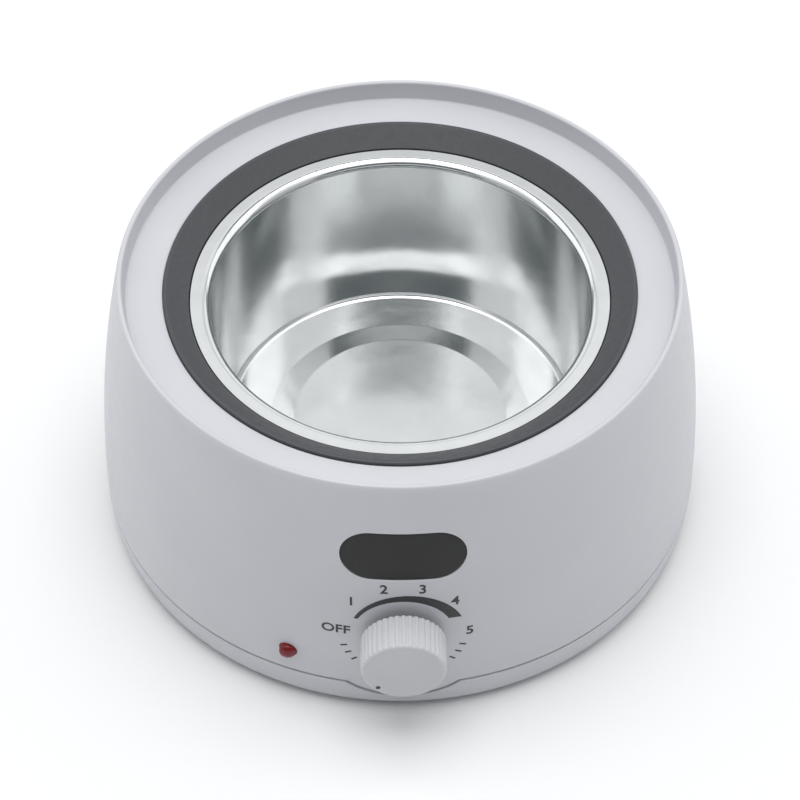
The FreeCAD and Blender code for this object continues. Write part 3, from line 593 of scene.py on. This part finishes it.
def finished(piece, material, slot, body, *nodes, sharp=32):
    """Smooths a piece, gives it its finish and body, and hides the solids that it stands for."""
    mesh = piece.data
    mesh.shade_smooth()
    mesh.set_sharp_from_angle(angle=math.radians(sharp))
    mesh.materials.clear()
    mesh.materials.append(material)
    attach(piece, body)
    if nodes:
        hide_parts(*nodes)
    return piece


# Body shell


def seam_line(azimuth, shift):
    """Height of the seam at an azimuth: level, with the round tongue dipping under the dial."""
    level = seam_height + shift
    x = polar(body_radius, azimuth)[0]
    reach = tongue_radius - tongue_gap_share * shift
    if math.cos(azimuth) < 0 or abs(x) >= reach:
        return level
    return min(level, dial_height - math.sqrt(reach ** 2 - x ** 2))


def tongue_corner(shift):
    """Azimuth where the tongue leaves the level seam."""
    reach = tongue_radius - tongue_gap_share * shift
    return math.asin(math.sqrt(reach ** 2 - (dial_height - seam_height - shift) ** 2) / body_radius)


def body_azimuths(shift):
    """Columns round the body, closer together at the front, with one on each corner of the tongue."""
    coarse = [math.radians(a) for a in range(-180, 180)]
    fine = [math.radians(a / 2) for a in range(-35, 37, 2)]
    corner = tongue_corner(shift)
    spread = [a for a in coarse + fine if min(abs(a - corner), abs(a + corner)) > math.radians(0.2)]
    return sorted(spread + [corner, -corner])


def shell_section(azimuth):
    """Section of the housing: side, lip, shelf, rebate for the ring and inner wall."""
    low = seam_line(azimuth, seam_gap / 2)
    # Rows of points are level above the join and follow the seam below it
    join = level_rows_from
    lip_round = 0.45 * lip_thickness
    lip_inner = side_radius(body_top) - lip_thickness
    rebate = ring_radius + ring_slack
    shelf_hole = ring_radius - ring_neck + ring_slack
    shelf_low = shelf_top - shelf_thickness
    seat = shelf_top - ring_rebate
    fillet = shelf_fillet
    edge_centre = (side_radius(low + edge_round) - edge_round, low + edge_round)
    section = arc_points(edge_centre, edge_round, -90, 0, 4)
    rows = steps(low + edge_round, join, 9)[1:] + steps(join, body_top - lip_round, 48)[1:]
    section += [(side_radius(z), z) for z in rows]
    section += arc_points((side_radius(body_top) - lip_round, body_top - lip_round), lip_round, 0, 90, 5)[1:]
    section += arc_points((lip_inner + lip_round, body_top - lip_round), lip_round, 90, 180, 5)
    lip_foot = lip_inner - lip_draft
    shares = braced_steps(0, lip_height - lip_round - fillet, 4)[1:]
    fall = lip_draft / shares[-1]
    section += [(lip_inner - fall * drop, body_top - lip_round - drop) for drop in shares]
    section += arc_points((lip_foot - fillet, shelf_top + fillet), fillet, 0, -90, 5)[1:]
    section += [(r, shelf_top) for r in braced_steps(lip_foot - fillet, rebate + edge_round, 6)[1:]]
    section += arc_points((rebate + edge_round, shelf_top - edge_round), edge_round, 90, 180, 3)[1:]
    section += [(rebate, seat), (shelf_hole, seat), (shelf_hole, shelf_low)]
    section += [(side_radius(z, wall), z) for z in steps(shelf_low, join, 8) + steps(join, low, 4)[1:]]
    return section


def base_section(azimuth):
    """Section of the base cover: flat underside, skirt up to the seam, spigot and inner floor."""
    top = seam_line(azimuth, -seam_gap / 2)
    low = base_low.z
    spigot_outer = side_radius(seam_height, wall) - spigot_slack
    spigot_inner = spigot_outer - spigot_thickness
    bend = base_edge_round
    section = [(0, low)] + [(r, low) for r in steps(0.012, side_radius(low) - bend, 6)]
    section += arc_points((side_radius(low + bend) - bend, low + bend), bend, -90, 0, 6)[1:]
    section += [(side_radius(z), z) for z in steps(low + bend, top - edge_round, 7)[1:]]
    section += arc_points((side_radius(top) - edge_round, top - edge_round), edge_round, 0, 90, 4)[1:]
    section += [(spigot_outer, top), (spigot_outer, base_high.z), (spigot_inner, base_high.z)]
    section += [(spigot_inner, low + base_floor), (0, low + base_floor)]
    return section


def shell_rings(section_at, azimuths):
    """Points of a changing section, swept round the axis."""
    rings = []
    for azimuth in azimuths:
        rings.append([(*polar(r, azimuth), z) for r, z in section_at(azimuth)])
    return rings


def stadium_loop(grow, count=24):
    """Outline of the window in the front view, grown or shrunk all round."""
    half = (window_width - window_height) / 2
    end = window_height / 2 + grow
    loop = arc_points((half, 0), end, -90, 90, count)
    loop += [(x, end) for x in steps(half, -half, count)[1:-1]]
    loop += arc_points((-half, 0), end, 90, 270, count)
    loop += [(x, -end) for x in steps(-half, half, count)[1:-1]]
    return loop


def window_ring(grow, inset):
    """The window's outline laid on the front wall, some way under its surface."""
    return [on_front(x, window_centre + z, inset) for x, z in stadium_loop(grow)]


def window_cutter():
    """Stepped cutter for the window: flared mouth, seat for the lens and the opening behind it."""
    seat = window_recess + window_thickness
    rings = [window_ring(window_flare, -2 * wall), window_ring(window_flare, -0.0001),
             window_ring(0, window_flare), window_ring(0, seat),
             window_ring(-window_ledge, seat), window_ring(-window_ledge, 2 * wall)]
    return from_rings("window_cutter", rings, "capped")


def bore_cutter(name, path, x, y, z):
    """Round stepped cutter that enters the front wall along +Y, from (radius, depth) points."""
    points = [(0, -path[0][1])] + [(r, -depth) for r, depth in path] + [(0, -path[-1][1])]
    return facing_front(turned(name, points, housing_white, 48), x, y, z)


lamp_x = (lamp_low.x + lamp_high.x) / 2
lamp_z = (lamp_low.z + lamp_high.z) / 2
lamp_radius = 0.0025
lamp_hole_gap = 0.0001
bush_z = (bush_low.z + bush_high.z) / 2
bush_neck = 0.0056
bush_hole = bush_neck + 0.0001
spot_radius = 0.009
spot_depth = 0.0006
shaft_hole = 0.0049


def housing_piece():
    """White shell with the window's seat, the lamp's hole, the dial's spot face and the cord inlet."""
    shell = from_rings("housing_shell", shell_rings(shell_section, body_azimuths(seam_gap / 2)), "around")
    far = 0.01
    lamp_wall = on_front(lamp_x, lamp_z).y
    dial_wall = on_front(0, dial_height).y
    lamp_hole = [(lamp_radius + lamp_hole_gap, -far), (lamp_radius + lamp_hole_gap, far)]
    spot_face = [(spot_radius, -far), (spot_radius, spot_depth), (shaft_hole, spot_depth), (shaft_hole, far)]
    inlet = [(bush_hole, -far), (bush_hole, far)]
    cutters = [
        window_cutter(),
        bore_cutter("lamp_cutter", lamp_hole, lamp_x, lamp_wall, lamp_z),
        bore_cutter("dial_cutter", spot_face, 0, dial_wall, dial_height),
        bore_cutter("inlet_cutter", inlet, 0, side_radius(bush_z), bush_z),
    ]
    cut_by(shell, cutters)
    return finished(shell, housing_white, "housing_white", "warmer", "upper_housing")


def vent_slot():
    """Cutter for one vent: a bar with round ends, lying along X."""
    half = (vent_length - vent_width) / 2
    loop = arc_points((half, 0), vent_width / 2, -90, 90, 8)
    loop += arc_points((-half, 0), vent_width / 2, 90, 270, 8)
    depth = 2 * base_floor
    rings = [[(x, y, base_low.z + base_floor / 2 + side * depth) for x, y in loop] for side in (-1, 1)]
    return from_rings("vent_slot", rings, "capped")


foot_radius = 0.007
foot_circle = feet_high.x - foot_radius
screw_head = 0.0028
screw_circle = math.hypot(screws_high.x - screw_head, screws_high.y - screw_head)
screw_seat = 0.006
screw_start = math.radians(45)
foot_inset = 0.001
seat_slack = 0.0002


def rod_row(name, radius, low, high, count, circle, start):
    """Row of upright round cutters on a circle."""
    rod = turned(name, [(0, low), (radius, low), (radius, high), (0, high)], housing_white, 48)
    return grown(rod, round_row, housing_white, Count=count, Circle=circle, Start_angle=start)


def base_piece():
    """White base cover: vents, screw wells and foot seats in its flat underside."""
    dish = from_rings("base_shell", shell_rings(base_section, body_azimuths(-seam_gap / 2)), "around")
    below = -0.01
    well_top = base_low.z + screw_seat
    seat_top = base_low.z + foot_inset
    wells = rod_row("screw_wells", screw_head + seat_slack, below, well_top, 4, screw_circle, screw_start)
    seats = rod_row("foot_seats", foot_radius + seat_slack, below, seat_top, 4, foot_circle, 0)
    cut_by(dish, [wells, seats])
    slot = vent_slot()
    grown(dish, slot_row, housing_white, Slot=slot, Count=vent_count, Circle=vent_circle)
    bpy.data.objects.remove(slot)
    return finished(dish, housing_white, "housing_white", "warmer", "base_cover")


def feet_piece():
    """Four rubber feet: tapered pads with a rounded edge and a shallow round hollow in the sole."""
    taper = 0.0008
    top = base_low.z + foot_inset
    hollow = 0.0005
    path = rounded_path([
        (0, hollow, 0), (0.0022, hollow, 0), (0.0027, 0, 0), (foot_radius - taper, 0, 0.0006),
        (foot_radius, top, 0), (0, top, 0),
    ])
    foot = turned("soft_feet", path, foot_rubber, 64)
    grown(foot, round_row, foot_rubber, Count=4, Circle=foot_circle, Start_angle=0.0)
    return finished(foot, foot_rubber, "foot_rubber", "warmer", "rubber_feet")


def cross_cutter(low, high):
    """Cross-shaped cutter of a screwdriver recess."""
    arms = []
    reach = 0.0017
    half_width = 0.00045
    for length, width in ((reach, half_width), (half_width, reach)):
        bm = bmesh.new()
        bmesh.ops.create_cube(bm, size=2)
        bmesh.ops.scale(bm, vec=(length, width, (high - low) / 2), verts=bm.verts)
        bmesh.ops.translate(bm, vec=(0, 0, (high + low) / 2), verts=bm.verts)
        arms.append(solid_from(bm, "cross_arm"))
    return arms


def screws_piece():
    """Four base screws with domed heads and cross recesses, up in their wells."""
    seat = base_low.z + screw_seat
    shank = 0.00145
    head_low = screws_low.z
    path = rounded_path([
        (0, head_low, 0), (screw_head * 0.55, head_low, 0), (screw_head, head_low + 0.0008, 0.0003),
        (screw_head, seat, 0), (shank, seat, 0), (shank, screws_high.z - 0.001, 0), (0, screws_high.z, 0),
    ])
    screw = turned("base_screw_row", path, plated_steel, 40)
    cut_by(screw, cross_cutter(head_low - 0.001, head_low + 0.0011))
    grown(screw, round_row, plated_steel, Count=4, Circle=screw_circle, Start_angle=screw_start)
    return finished(screw, plated_steel, "plated_steel", "warmer", "base_screws")


# Pot, ring and well


def ring_piece():
    """Dark funnel ring: flange in the shelf's rebate, slope down to the pot's rim, ledge for the well."""
    crown = ring_high.z
    neck = ring_radius - ring_neck
    seat = shelf_top - ring_rebate
    inner = pot_high.x + 0.0004
    rim_top = pot_high.z
    ledge_top = rim_top - 0.0022
    ledge_inner = 0.05815
    path = rounded_path([
        (neck, ring_low.z, 0), (neck, seat, 0), (ring_radius, seat, 0),
        (ring_radius, crown, 0.0005), (ring_radius - 0.001, crown, 0.0005),
        (inner, rim_top + 0.0003, 0.0002), (inner, ledge_top, 0), (ledge_inner, ledge_top, 0),
        (ledge_inner, ring_low.z, 0),
    ])
    ring = turned("heat_ring", path, ring_grey, 240, closed=True)
    return finished(ring, ring_grey, "ring_grey", "warmer", "insulating_ring", sharp=40)


def cup_path(corners, thickness):
    """Section line of a pressed cup, from the axis over its inside and rim and back under its outside."""
    outside = []
    spots = [Vector(corner[:2]) for corner in corners]
    for index, (r, z, bend) in enumerate(corners):
        ways = [(b - a).normalized() for a, b in zip(spots, spots[1:])]
        before = ways[max(index - 1, 0)]
        after = ways[min(index, len(ways) - 1)]
        mitre = (Vector((before.y, -before.x)) + Vector((after.y, -after.x))).normalized()
        reach = thickness / mitre.dot(Vector((after.y, -after.x)))
        spot = spots[index] + mitre * reach
        turn = before.x * after.y - before.y * after.x
        grow = thickness if turn > 0 else -thickness
        outside.append((max(spot.x, 0), spot.y, max(bend + grow, 0.0004) if bend else 0))
    return rounded_path(corners + outside[::-1], 10)


def pot_piece():
    """Lift-out aluminium pot: flat rim with a rounded mouth, tapered wall and a floor with a raised disc."""
    rim_radius = pot_high.x
    rim_top = pot_high.z
    mouth = rim_radius - pot_rim_width
    floor_radius = mouth - cup_taper
    floor_top = pot_low.z + pot_sheet
    disc_top = floor_top + disc_rise
    slope_foot = floor_radius - disc_slope_inset
    path = cup_path([
        (0, disc_top, 0), (disc_radius, disc_top, 0.0008), (slope_foot, floor_top, 0.0008),
        (floor_radius, floor_top, 0.0014), (mouth, rim_top, 0.0026), (rim_radius, rim_top, 0),
    ], pot_sheet)
    pot = turned("pot_shell", path, pot_aluminium, 256)
    return finished(pot, pot_aluminium, "pot_aluminium", "pot", "wax_pot", sharp=50)


def well_piece():
    """Fixed aluminium well that the pot hangs in, with the heater's stud under its floor."""
    rim_radius = well_high.x
    mouth = rim_radius - well_rim_width
    floor_radius = mouth - cup_taper
    floor_top = pot_low.z - 0.0003
    path = cup_path([
        (0, floor_top, 0), (floor_radius, floor_top, 0.003), (mouth, well_high.z, 0.0015),
        (rim_radius, well_high.z, 0),
    ], well_sheet)
    stud = 0.0025
    path[-1:] = [(stud, floor_top - well_sheet), (stud, well_low.z), (0, well_low.z)]
    well = turned("well_cup", path, well_aluminium, 200)
    return finished(well, well_aluminium, "well_aluminium", "warmer", "heating_well", sharp=50)


# Dial, window, lamp and print


def knob_piece():
    """White dial knob: fluted side, rounded edge, faintly dished face, hollow back and hub."""
    length = knob_high.y - knob_low.y
    radius = knob_high.x
    face = 0.0022
    bend = 0.0012
    dish = 0.0008
    rim = radius - 0.0024
    foot_round = 0.0003
    hub = 0.0052
    bore = 0.00302
    hub_low = 0.0033
    inside = length - face
    outline = [(0, inside), (bore, inside), (bore, hub_low), (hub, hub_low), (hub, inside)]
    outline += [(rim, inside), (rim, 0), (radius - foot_round, 0)]
    outline += [(radius, z) for z in [foot_round] + steps(0.001, length - bend, 14)]
    outline += arc_points((radius - bend, length - bend), bend, 0, 90, 8)[1:]
    reach = radius - bend
    outline += [(r, length - dish * (1 - (r / reach) ** 2) ** 2) for r in steps(reach, 0, 12)[1:]]
    knob = turned("dial_knob", outline, knob_white, 640)
    grown(knob, flutes, knob_white, Count=40, Depth=0.0004, Flute_share=0.62, Fade_start=length - bend,
          Fade_end=length + 0.0001, Inner_radius=rim + 0.0002)
    facing_front(knob, 0, knob_high.y, dial_height)
    return finished(knob, knob_white, "housing_white", "knob", "control_knob", sharp=40)


def pointer_piece():
    """Dark dot of paint in a shallow seat near the edge of the knob's face."""
    radius = (pointer_high.x - pointer_low.x) / 2
    depth = pointer_high.y - pointer_low.y
    path = rounded_path([(0, 0, 0), (radius, 0, 0), (radius, depth, 0.00012), (0, depth, 0)], 4)
    dot = turned("pointer_dot", path, dial_ink, 40)
    x = (pointer_low.x + pointer_high.x) / 2
    z = (pointer_low.z + pointer_high.z) / 2
    facing_front(dot, x, pointer_high.y, z)
    return finished(dot, dial_ink, "pointer_black", "knob", "knob_pointer")


def window_piece():
    """Smoked lens in its seat, following the curve of the wall, with a softly rounded edge."""
    end = window_height / 2
    gap = window_side_gap
    bend = 0.0003
    back = window_recess + window_thickness
    rings = [window_ring(-grow, back) for grow in steps(end, gap, 8)]
    for turn in steps(0, 90, 4):
        angle = math.radians(turn)
        inward = bend * (1 - math.cos(angle))
        under = bend * (1 - math.sin(angle))
        rings.append(window_ring(-gap - inward, window_recess + under))
    rings += [window_ring(-grow, window_recess) for grow in steps(gap + bend, end, 12)[1:]]
    lens = from_rings("window_lens", rings, "seams")
    return finished(lens, smoked_window, "smoked_window", "warmer", "display_window", sharp=40)


def lamp_piece():
    """Red indicator: round body through the wall with a low dome in front and a flange behind."""
    flange = (lamp_high.x - lamp_low.x) / 2
    dome = 0.0015
    barrel = 0.0095
    thickness = 0.001
    dome_foot = lamp_low.y + lamp_radius
    back = dome_foot + barrel + thickness
    length = back - dome_foot
    path = [(0, 0), (flange, 0), (flange, thickness), (lamp_radius, thickness)]
    path += [(lamp_radius, z) for z in steps(0.0015, length, 6)]
    path += [(r, length + z * dome / lamp_radius) for r, z in arc_points((0, 0), lamp_radius, 0, 90, 12)[1:]]
    lamp = turned("lamp_dome", path, lamp_red, 64)
    facing_front(lamp, lamp_x, back, lamp_z)
    return finished(lamp, lamp_red, "lamp_red", "warmer", "indicator_lens")


def bush_piece():
    """Rubber bush of the cord inlet, with a rounded outer flange and a narrower lip at its mouth."""
    flange = (bush_high.x - bush_low.x) / 2
    length = bush_high.y - bush_low.y
    lip = 0.0036
    relief = 0.0044
    thickness = 0.002
    lip_low = length - 0.0016
    path = rounded_path([
        (relief, 0, 0), (flange, 0, 0.0005), (flange, thickness, 0.0004), (bush_neck, thickness, 0),
        (bush_neck, length - thickness, 0), (flange, length - thickness, 0.0003), (flange, length, 0.0012),
        (lip, length, 0.0005), (lip, lip_low, 0), (relief, lip_low, 0),
    ], 6)
    bush = turned("inlet_bush", path, foot_rubber, 80, closed=True)
    place = Matrix.Translation((0, bush_low.y, bush_z))
    bush.data.transform(place @ Matrix.Rotation(math.radians(-90), 4, "X"))
    return finished(bush, foot_rubber, "foot_rubber", "warmer", "cord_grommet")


print_proud = 0.00004
print_sunk = 0.0001


def wrapped(bm, name):
    """Lays a flat shape of the front view on the wall as a thin layer of ink."""
    bmesh.ops.remove_doubles(bm, verts=bm.verts, dist=1e-6)
    upper = bm.faces[:]
    made = bmesh.ops.extrude_face_region(bm, geom=upper)
    lifted = {item for item in made["geom"] if isinstance(item, bmesh.types.BMVert)}
    for vert in bm.verts:
        inset = -print_proud if vert in lifted else print_sunk
        vert.co = on_front(vert.co.x, vert.co.z, inset)
    return solid_from(bm, name)


def strip(bm, inner, outer):
    """Band of faces between two rows of points in the front view."""
    rows = [[bm.verts.new((x, 0, z)) for x, z in row] for row in (inner, outer)]
    for i in range(len(inner) - 1):
        bm.faces.new((rows[0][i], rows[0][i + 1], rows[1][i + 1], rows[1][i]))


def dial_point(radius, angle):
    """Point in the front view at an angle from straight up about the dial, positive to the right."""
    return radius * math.sin(angle), dial_height + radius * math.cos(angle)


def crescent(bm):
    """Tapering arc over the knob, thicker towards the hot end, its tips cut level."""
    inner = 0.0142
    outer = 0.0164
    swell = 0.0012
    tips = 0.0064
    right = math.acos(tips / (outer + swell))
    left = -math.acos(tips / (outer - swell))
    edge = math.acos(tips / inner)
    count = 48
    inside = [dial_point(inner, a) for a in steps(-edge, edge, count)]
    outside = [dial_point(outer + swell * math.sin(a), a) for a in steps(left, right, count)]
    strip(bm, inside, outside)


def ticks(bm):
    """Short scale marks on both sides below the ends of the arc."""
    half = 0.0003 / 0.018
    for degrees in (-128, -118, -108, 108, 118, 128):
        angle = math.radians(degrees)
        ends = [[dial_point(radius, angle + side * half) for side in (-1, 1)] for radius in (0.0166, 0.0186)]
        strip(bm, *ends)


def lettering(bm, words, x, z, height):
    """Adds plain letters or figures, centred at a place in the front view."""
    curve = bpy.data.curves.new("letters", "FONT")
    curve.body = words
    curve.size = height / 0.73
    curve.offset = 0.0001
    curve.align_x = "CENTER"
    curve.align_y = "CENTER"
    curve.resolution_u = 6
    holder = bpy.data.objects.new("letters", curve)
    bpy.context.scene.collection.objects.link(holder)
    graph = bpy.context.evaluated_depsgraph_get()
    mesh = bpy.data.meshes.new_from_object(holder.evaluated_get(graph))
    bpy.data.objects.remove(holder)
    mesh.transform(Matrix.Translation((x, 0, z)) @ Matrix.Rotation(math.radians(90), 4, "X"))
    bm.from_mesh(mesh)
    bpy.data.meshes.remove(mesh)


def print_piece():
    """Dial print: the arc, scale marks, OFF and plain figures."""
    letter_height = 0.0034
    figure_circle = 0.0195
    bm = bmesh.new()
    crescent(bm)
    ticks(bm)
    lettering(bm, "OFF", -0.0189, 0.0356, letter_height)
    lettering(bm, "5", 0.0187, 0.0345, letter_height)
    for figure, degrees in zip("1234", (-48, -16, 16, 48)):
        x, z = dial_point(figure_circle, math.radians(degrees))
        lettering(bm, figure, x, z, letter_height)
    return finished(wrapped(bm, "dial_print"), dial_ink, "pointer_black", "warmer")


housing_piece()
base_piece()
feet_piece()
screws_piece()
ring_piece()
pot_piece()
well_piece()
knob_piece()
pointer_piece()
window_piece()
lamp_piece()
bush_piece()
print_piece()

# Finishes of the solids that stay as they are
kept_finishes = {
    heater_mica: ["heater_disc"],
    plated_steel: ["heater_clamp_plate", "heater_nut", "heat_shield", "shield_screws", "dial_nut",
                   "control_shaft", "display_screws", "board_screws", "thermal_fuse", "temperature_sensor"],
    contact_brass: ["control_tabs"],
    black_plastic: ["control_body", "display_module", "indicator_cap"],
    well_aluminium: ["sensor_pockets"],
    board_green: ["display_board", "power_board"],
    relay_blue: ["relay"],
    capacitor_yellow: ["capacitor"],
    terminal_green: ["terminal_block"],
}
for material, names in kept_finishes.items():
    for name in names:
        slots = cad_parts[name].data.materials
        slots.clear()
        slots.append(material)

# Studio


def floor():
    """Plain pale floor."""
    finish = Finish("floor_pale", (0.86, 0.86, 0.865), 0.8)
    bm = bmesh.new()
    bmesh.ops.create_grid(bm, x_segments=1, y_segments=1, size=8)
    mesh = bpy.data.meshes.new("floor")
    bm.to_mesh(mesh)
    bm.free()
    mesh.materials.append(finish.material)
    new_piece("floor", mesh)


def softbox(name, width, height, azimuth, elevation, glow):
    """Rectangular studio light that looks at the object from a direction in degrees, with an even glow."""
    distance = 4.0
    rise = math.radians(elevation)
    x, y = polar(distance * math.cos(rise), math.radians(azimuth))
    way = Vector((x, y, distance * math.sin(rise)))
    light = bpy.data.lights.new(name, "AREA")
    light.shape = "RECTANGLE"
    light.size = width
    light.size_y = height
    light.energy = glow * math.pi * width * height
    holder = bpy.data.objects.new(name, light)
    holder.location = way + Vector((0, 0, dial_height))
    holder.rotation_euler = (-way).to_track_quat("-Z", "Y").to_euler()
    bpy.context.scene.collection.objects.link(holder)


def studio():
    """Strong light from above, broad light from the sides and the back, and little from the front."""
    softbox("overhead", 2.9, 2.9, 0, 91, 4.0)
    softbox("front_top", 3.7, 0.63, 0, 61.5, 1.35)
    softbox("front_low", 6.4, 1.1, 0, 28, 0.5)
    softbox("back_low", 6.9, 1.85, 180, 23, 0.9)
    softbox("back_middle", 5.1, 0.7, 180, 41, 0.6)
    softbox("back_top", 4.0, 0.7, 180, 51, 0.9)
    for side, word in ((-1, "left"), (1, "right")):
        softbox(word + "_low", 2.7, 2.2, side * 65, 20.5, 0.4)
        softbox(word + "_middle", 1.95, 1.48, side * 65, 46.5, 0.7)
        softbox(word + "_top", 1.25, 0.91, side * 65, 63.5, 1.4)
        softbox(word + "_back_low", 3.3, 3.0, side * 110, 26, 1.08)
        softbox(word + "_back_top", 1.9, 1.41, side * 110, 57, 1.28)
    world = bpy.data.worlds.new("surround")
    world.use_nodes = True
    backdrop = world.node_tree.nodes["Background"]
    backdrop.inputs["Color"].default_value = (0.8, 1, 1.08, 1)
    backdrop.inputs["Strength"].default_value = 0.075
    bpy.context.scene.world = world
    bpy.context.scene.view_settings.view_transform = "Standard"


def photo_camera():
    """Camera at the photograph's height, distance and angle of view."""
    target = Vector((0, 0, 0.03475))
    distance = 0.9
    elevation = math.radians(48.3)
    azimuth = math.radians(-0.6)
    frame_pixels = 800
    focal_pixels = 3006
    sensor = 36.0
    camera = bpy.data.cameras.new("photo_camera")
    camera.sensor_width = sensor
    camera.lens = sensor * focal_pixels / frame_pixels
    holder = bpy.data.objects.new("photo_camera", camera)
    x, y = polar(distance * math.cos(elevation), azimuth)
    holder.location = target + Vector((x, y, distance * math.sin(elevation)))
    holder.rotation_euler = (target - holder.location).to_track_quat("-Z", "Y").to_euler()
    bpy.context.scene.collection.objects.link(holder)
    bpy.context.scene.camera = holder


floor()
studio()
photo_camera()
